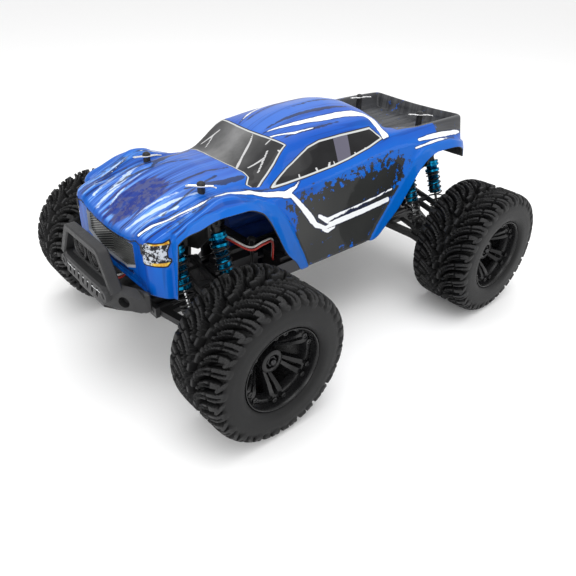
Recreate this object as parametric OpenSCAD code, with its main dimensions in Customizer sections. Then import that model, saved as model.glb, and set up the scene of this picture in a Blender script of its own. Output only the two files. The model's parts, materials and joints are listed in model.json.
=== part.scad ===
// Radio-controlled 4WD monster truck, about 1/10 scale.
// Millimetres. +X forward, +Y left, +Z up. The origin is on the ground, at the middle of the
// bounding box. Names ending fl, fr, rl and rr are front/rear and left/right corners.

/* [Wheels] */
// Distance between the front and rear axles
wheelbase = 280; // [270:1:290]
// Radius over the tyre lugs
tyre_r = 63; // [60:0.5:63]
// Width of a tyre
tyre_w = 62; // [56:1:62]
// Distance of the tyre's inner side from the centre plane
tyre_inner_y = 93; // [93:1:96]
// Radius of the wheel rim's lip
rim_r = 35; // [34:0.5:36]
// Number of tread lugs in one row
lug_count = 20; // [12:1:24]
// Number of wheel spokes
spoke_count = 6; // [5:1:7]

/* [Suspension] */
// Sideways reach of a suspension arm between its pins
arm_reach = 62; // [62:1:62]
// Drop of a suspension arm between its pins
arm_drop = 14; // [13:0.5:15]
// Radius of the hinge pins
pin_r = 1.5; // [1.4:0.1:1.6]
// Running clearance round a pin
run_gap = 0.07; // [0.05:0.01:0.09]
// Length of a shock absorber between its eyes
shock_len = 68.35; // [68.35:0.01:68.35]
// Distance of each shock absorber from the axle, along the truck
shock_x = 20; // [20:0.5:21]

/* [Chassis] */
// Ground clearance under the chassis plate
clearance = 56; // [56:0.5:57]
// Thickness of the chassis plate
plate_t = 3; // [2.5:0.5:3]
// Half width of the chassis plate amidships
chassis_half_w = 42; // [42:1:46]

/* [Drive] */
// Gear module of the spur gear and pinion
gear_module = 0.8; // [0.8:0.1:0.8]
// Teeth on the spur gear
spur_teeth = 44; // [44:1:44]
// Teeth on the motor pinion
pinion_teeth = 14; // [14:1:14]
// Radius of the motor can
motor_r = 17.8; // [17:0.1:17.9]

/* [Body] */
// Thickness of the polycarbonate body
skin = 1.5; // [1.2:0.1:1.6]
// Height of the front of the bonnet at the centre
nose_z = 137; // [135:1:139]
// Height of the roof at the centre
roof_z = 201; // [198:1:204]

/* [Hidden] */
$fn = 48;
fine = 96;
hull_fn = 28;
eps = 0.01;
press_gap = 0.02;

// Fore and aft places. The bounding box runs from the rear tyres to the bumper.
front_axle = wheelbase / 2 - 7.5;
rear_axle = front_axle - wheelbase;
front_end = 210.5;

// Suspension points in the plane of an axle, as [y, z]
lower_in = [24, 61];
lower_out = lower_in + [arm_reach, -arm_drop];
upper_in = [22, 96];
upper_out = upper_in + [arm_reach, -arm_drop];
cup_in = lower_in + [0, 16];
axle_z = cup_in[1] - arm_drop;
kingpin_y = lower_out[0];
arm_tilt = -atan(arm_drop / arm_reach);
arm_len = norm([arm_reach, arm_drop]);
shock_top = [40, 132];
shock_foot = [64, 68];
shock_tilt = atan((shock_foot[0] - shock_top[0]) / (shock_top[1] - shock_foot[1]));

// Steering points. All steering arms are parallel, so the links move without turning.
steer_arm = 24;
horn_x = front_axle - 45.5;
horn_y = 16;
horn_z = 84.5;
link_z = 88.3;
link_t = 2.6;
link_ball = [horn_x - steer_arm, 24, 94.4];
knuckle_ball = [front_axle - steer_arm, kingpin_y, link_ball[2] - arm_drop];

// Drive line
drive_z = cup_in[1];
spur_x = -31;
gear_w = 6;
spur_r = gear_module * spur_teeth / 2;
pinion_r = gear_module * pinion_teeth / 2;
motor_y = spur_r + pinion_r;
deck_z = clearance + plate_t;

// Colours
blue = [0.05, 0.28, 0.78];
black = [0.07, 0.07, 0.08];
grey = [0.25, 0.25, 0.27];
steel = [0.72, 0.73, 0.75];
alloy_blue = [0.05, 0.62, 0.85];

// ---------------------------------------------------------------- helpers

// Puts a part made for the front left corner at one of the four corners
module corner(axle_x, side) {
    translate([axle_x, 0, 0]) mirror([0, side < 0 ? 1 : 0, 0]) children();
}

// A cylinder along X, from x0 to x1, at [y, z]
module bar_x(x0, x1, yz, r, fn = 48) {
    translate([x0, yz[0], yz[1]]) rotate([0, 90, 0]) cylinder(h = x1 - x0, r = r, $fn = fn);
}

// A cylinder along Y, from y0 to y1, at [x, z]
module bar_y(y0, y1, xz, r, fn = 48) {
    translate([xz[0], y0, xz[1]]) rotate([-90, 0, 0]) cylinder(h = y1 - y0, r = r, $fn = fn);
}

// A solid of revolution about the wheel axis, from [radius, y] points
module turned_y(points, z) {
    translate([0, 0, z]) rotate([-90, 0, 0]) rotate_extrude($fn = fine) polygon(points);
}

// A box centred on x = 0, between two [y, z] corners
module slab(half_x, y0, y1, z0, z1) {
    translate([-half_x, y0, z0]) cube([2 * half_x, y1 - y0, z1 - z0]);
}

// Works in an arm's own frame: Y runs from the inner pin to the outer one
module along_arm(pin) {
    translate([0, pin[0], pin[1]]) rotate([arm_tilt, 0, 0]) children();
}

// Works along a shock absorber: -Z runs from the upper eye to the lower one
module along_shock(sx) {
    translate([sx, shock_top[0], shock_top[1]]) rotate([shock_tilt, 0, 0]) children();
}

// A gear blank with slim straight-sided teeth, drawn flat
module gear_outline(teeth, first_angle) {
    pitch = gear_module * teeth / 2;
    root = pitch - 1.1 * gear_module;
    tip = pitch + 0.75 * gear_module;
    step = 360 / teeth;
    polygon([
        for (i = [0 : teeth - 1], k = [[root, -0.24], [tip, -0.09], [tip, 0.09], [root, 0.24]])
            k[0] * [cos(first_angle + (i + k[1]) * step), sin(first_angle + (i + k[1]) * step)]
    ]);
}

// A round tube swept along points, with a ring at every point
function unit(v) = v / norm(v);
function heading(p, i) = unit(p[min(i + 1, len(p) - 1)] - p[max(i - 1, 0)]);
function side_of(d) = unit(cross(d, abs(d[2]) < 0.9 ? [0, 0, 1] : [0, 1, 0]));
function ring(c, d, r, n) = let (s = side_of(d), t = cross(d, s))
    [for (k = [0 : n - 1]) c + r * (cos(360 * k / n) * s + sin(360 * k / n) * t)];
module tube(p, r, n = 8) {
    rings = [for (i = [0 : len(p) - 1]) each ring(p[i], heading(p, i), r, n)];
    walls = [
        for (i = [0 : len(p) - 2], k = [0 : n - 1]) each [
            [i * n + k, i * n + (k + 1) % n, (i + 1) * n + (k + 1) % n],
            [i * n + k, (i + 1) * n + (k + 1) % n, (i + 1) * n + k]
        ]
    ];
    cap_a = [[for (k = [n - 1 : -1 : 0]) k]];
    cap_b = [[for (k = [0 : n - 1]) (len(p) - 1) * n + k]];
    polyhedron(rings, concat(walls, cap_a, cap_b));
}

// Points of a smooth curve through hand-set points
function curve_at(p, i, t) =
    let (a = p[max(i - 1, 0)], b = p[i], c = p[i + 1], d = p[min(i + 2, len(p) - 1)])
    0.5 * (2 * b + (c - a) * t + (2 * a - 5 * b + 4 * c - d) * t * t
        + (3 * b - a - 3 * c + d) * t * t * t);
function smooth(p, n) = concat(
    [for (i = [0 : len(p) - 2], k = [0 : n - 1]) curve_at(p, i, k / n)], [p[len(p) - 1]]);

// ---------------------------------------------------------------- wheels

// Tyre: a hollow carcass with two staggered rows of lugs, glued over the rim
module tyre() {
    y0 = tyre_inner_y;
    y1 = y0 + tyre_w;
    mid = y0 + tyre_w / 2;
    base_r = tyre_r - 4.5;
    color(black) union() {
        turned_y([
            [rim_r + 0.1, y0 + 1.2], [rim_r + 3, y0], [rim_r + 12, y0], [base_r - 5, y0 + 2],
            [base_r, y0 + 7], [base_r + 1, mid], [base_r, y1 - 7], [base_r - 5, y1 - 2],
            [rim_r + 12, y1], [rim_r + 3, y1], [rim_r + 0.1, y1 - 1.2], [rim_r + 0.1, y1 - 4],
            [rim_r - 1.4, y1 - 5], [rim_r - 1.4, y1 - 10], [rim_r + 4, y1 - 5],
            [rim_r + 12, y1 - 4], [base_r - 7, y1 - 6], [base_r - 4.5, y1 - 10],
            [base_r - 3.5, mid], [base_r - 4.5, y0 + 10], [base_r - 7, y0 + 6],
            [rim_r + 12, y0 + 4], [rim_r + 4, y0 + 5], [rim_r - 1.4, y0 + 10],
            [rim_r - 1.4, y0 + 5], [rim_r + 0.1, y0 + 4]
        ], axle_z);
        for (row = [0, 1])
            translate([0, row == 0 ? y0 + 4 : mid + 1, axle_z]) rotate([-90, 0, 0])
                linear_extrude(tyre_w / 2 - 5) lug_ring(90 + row * 180 / lug_count);
    }
}

// The lugs of one row, on a ring that is sunk in the carcass
module lug_ring(first_angle) {
    step = 360 / lug_count;
    sunk = tyre_r - 8;
    difference() {
        polygon([
            for (i = [0 : lug_count - 1], k = [[tyre_r - 5, -0.3], [tyre_r, -0.24],
                                               [tyre_r, 0.24], [tyre_r - 5, 0.3]])
                k[0] * [cos(first_angle + (i + k[1]) * step), sin(first_angle + (i + k[1]) * step)]
        ]);
        circle(r = sunk, $fn = fine);
    }
}

// Wheel: deep rim with spokes, and the stub axle, hex and nut that turn with it
module wheel() {
    y0 = tyre_inner_y;
    y1 = y0 + tyre_w;
    disc_y = y1 - 20;
    color(black) union() {
        turned_y([
            [rim_r - 3.2, y0 + 2], [rim_r, y0 + 2], [rim_r, y0 + 4], [rim_r - 1.5, y0 + 5],
            [rim_r - 1.5, y1 - 5], [rim_r, y1 - 4], [rim_r, y1 - 2], [rim_r - 3.2, y1 - 2]
        ], axle_z);
        turned_y([
            [2.6, disc_y - 12], [9, disc_y - 12], [11, disc_y], [9, disc_y + 4], [5.6, disc_y + 4],
            [5.6, disc_y - 1], [2.6, disc_y - 1]
        ], axle_z);
        for (i = [0 : spoke_count - 1])
            translate([0, 0, axle_z]) rotate([0, (i + 0.5) * 360 / spoke_count, 0]) {
                for (s = [-1, 1]) rotate([0, s * 9, 0])
                    translate([-1.6, disc_y - 4, 8]) cube([3.2, 6, rim_r - 10.5]);
            }
    }
    color(steel) union() {
        turned_y([
            [0, kingpin_y + 5], [4.4, kingpin_y + 5], [4.4, kingpin_y], [5.4, kingpin_y - 4.6],
            [6, kingpin_y - 4.6],
            [6, kingpin_y + 11], [2.5, kingpin_y + 12], [2.5, disc_y + 6], [0, disc_y + 6]
        ], axle_z);
    }
    color(alloy_blue) translate([0, disc_y - 18, axle_z]) rotate([-90, 30, 0]) difference() {
        cylinder(h = 5.9, r = 6.9, $fn = 6);
        translate([0, 0, -1]) cylinder(h = 8, r = 2.5 + press_gap);
    }
    color(steel) translate([0, disc_y - 0.9, axle_z]) rotate([-90, 30, 0]) difference() {
        cylinder(h = 4, r = 4.6, $fn = 6);
        translate([0, 0, -1]) cylinder(h = 8, r = 2.5 + press_gap);
    }
}

// ---------------------------------------------------------------- suspension

// Lower arm: a slotted plate with pin barrels, shock ears and its two hinge pins
module lower_arm() {
    shock_at = [37.48, 15.64];
    color(black) along_arm(lower_in) difference() {
        union() {
            for (s = [-1, 1]) {
                bar_x(s > 0 ? 18 : -29.5, s > 0 ? 29.5 : -18, [0, 0], 4);
                bar_x(s > 0 ? 9 : -16, s > 0 ? 16 : -9, [arm_len, 0], 4);
                translate([s > 0 ? 12.8 : -16.4, shock_at[0] - 4, 0]) cube([3.6, 8, shock_at[1]]);
                bar_x(s > 0 ? 12.8 : -16.4, s > 0 ? 16.4 : -12.8, shock_at, 4);
            }
            difference() {
                translate([0, 0, -3]) linear_extrude(6) polygon([
                    [-29.5, 0], [-29.5, 6], [-18, 36], [-16, arm_len], [-11.6, arm_len],
                    [-11.6, 43], [11.6, 43], [11.6, arm_len], [16, arm_len], [18, 36],
                    [29.5, 6], [29.5, 0], [18, 0], [18, 4.5], [-18, 4.5], [-18, 0]
                ]);
                for (s = [-1, 1]) translate([0, 0, -4]) linear_extrude(8)
                    polygon([[s * 3, 9], [s * 21, 9], [s * 13, 29], [s * 3, 29]]);
            }
        }
        bar_x(-40, 40, [0, 0], pin_r + run_gap);
        bar_x(-40, 40, [arm_len, 0], pin_r + press_gap);
        bar_x(-40, 40, shock_at, pin_r + press_gap);
    }
    color(steel) along_arm(lower_in) {
        bar_x(-16, 16, [arm_len, 0], pin_r);
        for (s = [-1, 1]) {
            bar_x(s > 0 ? 12.9 : -25, s > 0 ? 25 : -12.9, shock_at, pin_r);
            bar_x(s > 0 ? 24.4 : -26, s > 0 ? 26 : -24.4, shock_at, 2.6);
        }
    }
}

// Upper arm: two bars and two webs, with its inner and outer pins
module upper_arm() {
    color(black) along_arm(upper_in) difference() {
        union() {
            for (s = [-1, 1]) {
                translate([s > 0 ? 6 : -9, 0, -2.5]) cube([3, arm_len, 5]);
                for (u = [0, arm_len]) bar_x(s > 0 ? 6 : -9, s > 0 ? 9 : -6, [u, 0], 3.4);
            }
            for (u = [10, 30, 50]) translate([-6.5, u, -1.5]) cube([13, 4, 3]);
        }
        for (u = [0, arm_len]) bar_x(-20, 20, [u, 0], pin_r + press_gap);
    }
    color(steel) along_arm(upper_in)
        for (u = [0, arm_len]) bar_x(-9.4, 9.4, [u, 0], pin_r);
}

// Block that hangs on the arms' outer pins, shared by both hub designs
module hub_block(half_x) {
    bar_x(-8.4, 8.4, lower_out, 4);
    bar_x(-5.4, 5.4, upper_out, 3.4);
    slab(5.4, upper_out[0] - 3.4, upper_out[0] + 3.4, 77.5, upper_out[1]);
    slab(half_x, 69, 73.6, 47.5, 78.2);
}

// Front hub carrier, a C that holds the steering knuckle between two king pins
module c_hub() {
    z_top = axle_z + 11.6;
    z_low = axle_z - 11.6;
    color(black) difference() {
        union() {
            hub_block(11);
            slab(8.4, 73, 92, z_top, z_top + 3.6);
            slab(8.4, 73, 92, z_low - 4.4, z_low);
        }
        slab(7, 60, 75, axle_z - 5, axle_z + 12);
        bar_x(-20, 20, lower_out, pin_r + run_gap);
        bar_x(-20, 20, upper_out, pin_r + run_gap);
        translate([0, kingpin_y, z_top - 1]) cylinder(h = 3, r = 2 + run_gap);
        translate([0, kingpin_y, z_low - 2]) cylinder(h = 3, r = 2 + run_gap);
    }
}

// Barrel with the wheel bearings, open inboard for the drive cup
module bearing_barrel(outer_r) {
    turned_y([
        [6.4, kingpin_y - 5], [outer_r, kingpin_y - 5], [outer_r, kingpin_y + 19],
        [2.5 + run_gap, kingpin_y + 19], [2.5 + run_gap, kingpin_y + 13.5], [6.4, kingpin_y + 12.5]
    ], axle_z);
}

// Steering knuckle with two king pins, a steering arm and its ball stud
module knuckle() {
    ball = knuckle_ball - [front_axle, 0, 0];
    color(grey) union() {
        bearing_barrel(10);
        for (s = [-1, 1]) translate([0, kingpin_y, axle_z + s * 11.4]) {
            translate([0, 0, s > 0 ? -2.4 : 0]) cylinder(h = 2.4, r = 4.4);
            translate([0, 0, s > 0 ? 0 : -1.8]) cylinder(h = 1.8, r = 2);
        }
    }
    color(grey) difference() {
        translate([ball[0] - 3, kingpin_y - 3, ball[2] - 11.8]) cube([17, 6, 3.4]);
        translate([0, 0, axle_z]) rotate([-90, 0, 0])
            translate([0, 0, 70]) cylinder(h = 40, r = 10 + press_gap);
    }
    color(steel) {
        translate([ball[0], ball[1], ball[2] - 8.5]) cylinder(h = 8, r = 1.2);
        translate(ball) sphere(r = 2.5, $fn = 40);
    }
}

// Rear hub carrier: the same pins with the bearing barrel in one piece
module hub_carrier() {
    color(black) difference() {
        union() {
            hub_block(10);
            slab(8.4, 73, 92, 47.5, 52);
            slab(8.4, 73, 92, 74, 78.2);
            bearing_barrel(12);
        }
        slab(7, 60, 80, axle_z - 5, axle_z + 12);
        turned_y([[0, 70], [6.4, 70], [6.4, kingpin_y + 12.5], [0, kingpin_y + 12.5]], axle_z);
        bar_x(-20, 20, lower_out, pin_r + run_gap);
        bar_x(-20, 20, upper_out, pin_r + run_gap);
    }
}

// Drive shaft with a ball and cross pin at each end, parallel to the arms
module dogbone() {
    color(steel) translate([0, cup_in[0], cup_in[1]]) rotate([arm_tilt, 0, 0]) {
        bar_y(8, arm_len - 8, [0, 0], 1.9);
        bar_y(0, arm_len, [0, 0], 1.2);
        for (u = [0, arm_len]) translate([0, u, 0]) {
            sphere(r = 3.1, $fn = 40);
            translate([0, 0, -3.8]) cylinder(h = 7.6, r = 1);
        }
    }
}

// Pair of outdrive cups on the diff case inside a gearbox
module outdrives(axle_x) {
    translate([axle_x, 0, 0]) color(steel) {
        difference() {
            union() {
                turned_y([[0, -30], [6, -30], [6, -14.6], [3, -14.6], [3, 14.6], [6, 14.6],
                          [6, 30], [0, 30]], drive_z);
                turned_y([[2, -9.5], [11, -9.5], [11, 3], [14.6, 3], [10.5, 8], [2, 8]], drive_z);
            }
            for (s = [-1, 1]) bar_y(s > 0 ? 15.8 : -31, s > 0 ? 31 : -15.8, [0, drive_z], 4.4);
        }
    }
}

// Oil-filled shock absorbers: caps, bodies and spring collars
module shock_body() {
    for (sx = [-shock_x, shock_x]) along_shock(sx) {
        color(alloy_blue) difference() {
            union() {
                bar_x(-2.5, 2.5, [0, 0], 4.8);
                translate([0, 0, -8]) cylinder(h = 6, r = 4);
                translate([0, 0, -13]) cylinder(h = 6, r = 7.5);
                translate([0, 0, -42]) cylinder(h = 30, r = 6);
                translate([0, 0, -19]) cylinder(h = 3, r = 7.6);
            }
            bar_x(-6, 6, [0, 0], 1.5 + press_gap);
            translate([0, 0, -39.5]) cylinder(h = 26.5, r = 4.6);
            translate([0, 0, -43]) cylinder(h = 5, r = 1.5 + run_gap);
        }
    }
}

// Shock rods with piston, spring seat and lower eye
module shock_rod() {
    for (sx = [-shock_x, shock_x]) along_shock(sx) {
        color(steel) union() {
            translate([0, 0, -shock_len + 4]) cylinder(h = shock_len - 32, r = 1.5);
            translate([0, 0, -29]) cylinder(h = 3, r = 4.5);
        }
        color(black) difference() {
            union() {
                bar_x(-2.5, 2.5, [0, -shock_len], 4.8);
                translate([0, 0, -61]) cylinder(h = 3, r = 7.2);
                translate([0, 0, -shock_len + 3]) cylinder(h = shock_len - 62, r = 3.4);
            }
            bar_x(-6, 6, [0, -shock_len], 2.9);
            translate([0, 0, -shock_len + 4]) cylinder(h = 12, r = 1.5 + press_gap);
        }
    }
}

// Springs, drawn as plain sleeves of the coils' size
module spring() {
    for (sx = [-shock_x, shock_x]) along_shock(sx)
        color(black) translate([0, 0, -58 + eps]) difference() {
            cylinder(h = 39 - 2 * eps, r = 7.5);
            translate([0, 0, -1]) cylinder(h = 42, r = 6.3);
        }
}

// ---------------------------------------------------------------- chassis

// Half outline of the chassis plate, from the nose back
module plate_outline() {
    w = chassis_half_w;
    half = [
        [160, 0], [160, 14], [154, 18], [97, 18], [90, 32], [76, w], [-76, w], [-94, 32],
        [-112, 18], [-172, 18], [-176, 14], [-176, 0]
    ];
    polygon(concat(half, [for (i = [len(half) - 2 : -1 : 1]) [half[i][0], -half[i][1]]]));
}

// Chassis plate with side guards, motor mount, bearing block, battery tray and idler post
module chassis_plate() {
    color(grey) difference() {
        union() {
            translate([0, 0, clearance]) linear_extrude(plate_t) plate_outline();
            for (s = [-1, 1])
                translate([-72, s > 0 ? chassis_half_w - 2 : -chassis_half_w, clearance])
                    cube([144, 2, 14]);
            for (x = [-78.2, 57.2]) translate([x, -chassis_half_w, deck_z - 1]) cube([3, 22, 10]);
        }
        for (x = [-80, -10, 40]) translate([x, 0, clearance - 1]) cylinder(h = 5, r = 1.6);
        translate([spur_x - 1, -8, deck_z - 1.2]) cube([gear_w + 2, 16, 3]);
    }
    color(alloy_blue) difference() {
        union() {
            translate([-36, -9, deck_z]) cube([3, 48, 28]);
            translate([-20, -9, deck_z]) cube([5, 18, 26]);
        }
        bar_x(-40, -10, [0, drive_z], 2.5 + run_gap);
        bar_x(-40, -30, [motor_y, drive_z], 6);
    }
    color(black) translate([horn_x, -horn_y, deck_z]) {
        cylinder(h = horn_z - deck_z - 0.2, r = 4);
        cylinder(h = link_z - deck_z, r = 2);
    }
}

// Gearbox housing with its arm mounts, for one axle; nose is the drive shaft's side
module gearbox(axle_x, nose) {
    translate([axle_x, 0, 0]) color(black) difference() {
        union() {
            bar_y(-13, 13, [0, drive_z], 19.9);
            slab(20, -13, 13, deck_z, drive_z);
            slab(4, -13, 25, 92, 99.5);
            slab(4, -25, 13, 92, 99.5);
            bar_x(nose > 0 ? 15 : -27, nose > 0 ? 27 : -15, [0, drive_z], 7);
            for (s = [-1, 1]) {
                translate([s > 0 ? 30 : -34, -29, deck_z]) cube([4, 58, 7]);
                translate([s > 0 ? 16 : -34, -13, deck_z]) cube([18, 26, 6]);
                for (t = [-1, 1])
                    translate([s > 0 ? 30 : -34, t > 0 ? 18.2 : -29, clearance + 0.5])
                        cube([4, 10.8, 6]);
            }
        }
        slab(40, -18.1, 18.1, clearance, deck_z);
        bar_y(-11.5, 11.5, [0, drive_z], 15.5);
        bar_y(-14, 14, [0, drive_z], 3 + run_gap);
        bar_x(nose > 0 ? 0 : -28, nose > 0 ? 28 : 0, [0, drive_z], 2.5 + run_gap);
        bar_x(nose > 0 ? 0 : -21, nose > 0 ? 21 : 0, [0, drive_z], 5.5);
        for (s = [-1, 1]) {
            bar_x(-40, 40, [s * lower_in[0], lower_in[1]], pin_r + press_gap);
            bar_x(-10, 10, [s * upper_in[0], upper_in[1]], pin_r + run_gap);
        }
    }
    color(steel) translate([axle_x, 0, 0])
        for (s = [-1, 1]) bar_x(-34.5, 34.5, [s * lower_in[0], lower_in[1]], pin_r);
}

module gearboxes() {
    gearbox(front_axle, -1);
    gearbox(rear_axle, 1);
}

// Shock towers: two plates over each gearbox, with the screws for the shocks
module shock_towers() {
    for (axle_x = [front_axle, rear_axle]) {
        color(black) difference() {
            for (s = [-1, 1]) translate([axle_x + (s > 0 ? 9.4 : -12.4), 0, 0])
                rotate([90, 0, 90]) linear_extrude(3) polygon([
                    [-13, 90], [-15, 104], [-30, 108], [-46, 124], [-46, 137], [-34, 140],
                    [34, 140], [46, 137], [46, 124], [30, 108], [15, 104], [13, 90]
                ]);
            translate([axle_x - 20, -9, 105]) cube([40, 18, 16]);
            translate([axle_x, 0, 0]) bar_y(-20, 20, [0, drive_z], 20);
        }
        color(steel) for (s = [-1, 1], t = [-1, 1]) translate([axle_x, 0, 0])
            bar_x(s > 0 ? 12.4 + eps : -24, s > 0 ? 24 : -12.4 - eps,
                  [t * shock_top[0], shock_top[1]], pin_r);
    }
}

// Body posts, two on a cross bar over each shock tower, as [x, top] pairs
post_y = 41.2;
post_ends = [[front_axle - 8.6, 168.5], [rear_axle + 10.2, 180]];
module body_posts() {
    color(black) for (end = post_ends) {
        translate([end[0] - 5, -post_y - 4, 140]) cube([10, 2 * post_y + 8, 4]);
        for (t = [-1, 1]) translate([end[0], t * post_y, 143]) {
            cylinder(h = end[1] - 143, r = 3);
            cylinder(h = 8, r = 4.6);
        }
    }
}

// ---------------------------------------------------------------- bumper

// Rounded strut between two points
module strut(a, b, r) {
    hull() {
        translate(a) sphere(r = r, $fn = hull_fn);
        translate(b) sphere(r = r, $fn = hull_fn);
    }
}

// Front bumper: swept bar with slots, lamp hoop, skid and its mount
module front_bumper() {
    bar = [
        [198, 0], [198, 34], [189, 50], [184.6, 60], [187, 63], [194, 60], [206, 41],
        [front_end - 0.5, 32], [front_end, 0]
    ];
    hoop_low = [204, 43, 106];
    hoop_top = [202, 24, 131];
    color([0.13, 0.13, 0.14]) {
        difference() {
            translate([0, 0, 89]) linear_extrude(17)
                polygon(concat(bar, [for (i = [len(bar) - 2 : -1 : 1]) [bar[i][0], -bar[i][1]]]));
            for (i = [-3 : 3]) translate([204, i * 8, 97.5]) rotate([20, 0, 0])
                cube([20, 2.6, 9], center = true);
        }
        for (s = [-1, 1]) bar_x(203, front_end, [s * 35, 99], 5.5);
        strut(hoop_low, hoop_top, 3.4);
        strut(hoop_top, [hoop_top[0], -hoop_top[1], hoop_top[2]], 3.4);
        strut([hoop_top[0], -hoop_top[1], hoop_top[2]], [hoop_low[0], -hoop_low[1], hoop_low[2]],
              3.4);
        for (s = [-1, 1]) translate([196, s * 12, 119]) rotate([0, 90, 0]) difference() {
            cylinder(h = 8, r = 10.4);
            translate([0, 0, 2]) cylinder(h = 8, r = 9);
        }
        translate([197, -24, 104]) cube([6, 48, 6]);
        hull() {
            translate([190, -24, 80]) cube([16, 48, 10]);
            translate([167, -17, clearance]) cube([2, 34, 3]);
            translate([186, -20, 72]) cube([8, 40, 2]);
        }
        translate([152.6, -12, 66.1]) cube([40, 24, 17.9]);
    }
}

// Lamp inserts in the bumper's two round housings
module bumper_lamps() {
    color([0.1, 0.1, 0.1]) for (s = [-1, 1]) translate([198.2, s * 12, 119]) rotate([0, 90, 0]) {
        cylinder(h = 4.5, r = 8.5);
        translate([0, 0, 4]) cylinder(h = 2.2, r = 7.6);
    }
}

// ---------------------------------------------------------------- body shell

// Outlines along the truck. Each list gives [x, value] pairs, from tail to nose.
edge_z = [
    [-190, 132], [-176, 137], [-172, 145], [-150, 152], [-126, 153], [-111, 149], [-103, 141],
    [-94, 126], [-79, 102], [-66, 89], [-56, 81], [-50, 79], [44, 79], [51, 88], [64, 102],
    [79, 127], [88, 141], [97, 150], [110, 155], [130, 155.5], [149, 151], [165, 144.5],
    [167, 98], [184, 101]
];
edge_y = [
    [-190, 60], [-176, 72], [-150, 77], [-111, 77], [-94, 74], [-66, 70], [44, 70], [64, 73],
    [88, 77], [97, 79], [149, 78], [165, 75], [167, 71], [175, 67], [184, 57]
];
crease_z = [
    [-190, 152], [-178, 155], [-150, 162], [-133, 164], [-101, 165.5], [-60, 163], [0, 157],
    [60, 152], [80, 152], [103, 160.5], [114, 165.5], [123, 166.5], [144, 158.5], [160, 151.5],
    [177, 145.5], [184, 143]
];
crease_y = [
    [-190, 57], [-178, 66], [-160, 69], [-101, 70], [-60, 68], [60, 67], [144, 67], [160, 66],
    [172, 65], [178, 63], [184, 56]
];
shoulder_z = [
    [-190, 172], [-180, 174.5], [-130, 175.5], [-65, 175.5], [-40, 170], [0, 165], [60, 159],
    [78, 158], [90, 161], [110, 163.5], [128, 162.5], [143, 159], [156, 155.4], [173, 150],
    [184, 145]
];
shoulder_y = [
    [-190, 54], [-180, 60], [-130, 61], [-75, 60], [-60, 58], [-40, 61], [0, 60], [60, 57],
    [78, 53], [90, 50], [110, 47.5], [184, 47]
];
rail_z = [
    [-190, 173], [-182, 175.5], [-90, 175.5], [-72, 178.5], [-50, 182], [0, 184], [42, 183.5],
    [78, 163], [90, 162], [110, 164], [128, 163], [156, 156], [173, 150.5], [184, 145]
];
rail_y = [
    [-190, 51], [-182, 55], [-112, 55], [-95, 45], [-84, 43], [-72, 46], [-50, 46], [42, 46],
    [78, 48], [90, 45], [110, 43.5], [184, 43]
];
inner_z = [
    [-190, 173], [-184, 175], [-181, 160], [-96, 160], [-84, 174], [-72, 184], [-50, 189],
    [0, 189], [40, 185.5], [78, 165.5], [90, 164.5], [110, 164.5], [128, 162.5], [156, 154.5],
    [173, 147.5], [184, 141]
];
inner_y = [
    [-190, 48], [-184, 52], [-112, 51], [-95, 40], [-84, 38], [-72, 40], [-50, 41], [40, 40],
    [78, 38], [184, 36]
];
centre_z = [
    [-190, 172], [-184, 173.5], [-181, 160], [-96, 160], [-84, 178], [-72, 191], [-50, 198.5],
    [-30, roof_z], [0, roof_z - 1], [20, 196.5], [40, 189.5], [78, 168], [90, 167.5], [110, 164.5],
    [128, 161], [140, 157.5], [156, 151], [170, 144], [184, nose_z]
];
stations = [
    -190, -184, -181, -176, -172, -161, -150, -138, -126, -111, -103, -96, -90, -84, -79, -72,
    -66, -60, -50, -40, -30, -15, 0, 20, 40, 44, 51, 64, 71, 78, 84, 90, 97, 103, 110, 117, 123,
    130, 140, 149, 156, 161, 165, 167, 173, 178, 184
];

// Left half of the cross-section at x, from the lower edge up to the centre line
function half_section(x) =
    let (
        low = [lookup(x, edge_y), lookup(x, edge_z)],
        crease = [lookup(x, crease_y), lookup(x, crease_z)],
        belly = (low + crease) / 2 + [1.2, 0],
        shoulder = [lookup(x, shoulder_y), lookup(x, shoulder_z)],
        rail = [lookup(x, rail_y), lookup(x, rail_z)],
        inner = [lookup(x, inner_y), lookup(x, inner_z)],
        mid = lookup(x, centre_z),
        quarter = [inner[0] / 2, inner[1] + (mid - inner[1]) * 0.72]
    )
    [low, belly, crease, shoulder, rail, inner, quarter, [0, mid]];
function full_section(x) = let (h = half_section(x), n = len(h))
    concat([for (p = h) [x, p[0], p[1]]],
           [for (i = [n - 2 : -1 : 0]) [x, -h[i][0], h[i][1]]]);

// Inner skin: every point moves inward along the surface's normal
function grid_normal(g, i, j) =
    let (
        along = g[min(i + 1, len(g) - 1)][j] - g[max(i - 1, 0)][j],
        round = g[i][min(j + 1, len(g[0]) - 1)] - g[i][max(j - 1, 0)]
    )
    unit(cross(along, round));
function inward(g, i, j) =
    let (cap = i == 0 ? [1, 0, 0] : i == len(g) - 1 ? [-1, 0, 0] : [0, 0, 0])
    g[i][j] - skin * grid_normal(g, i, j) + skin * cap;

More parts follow.
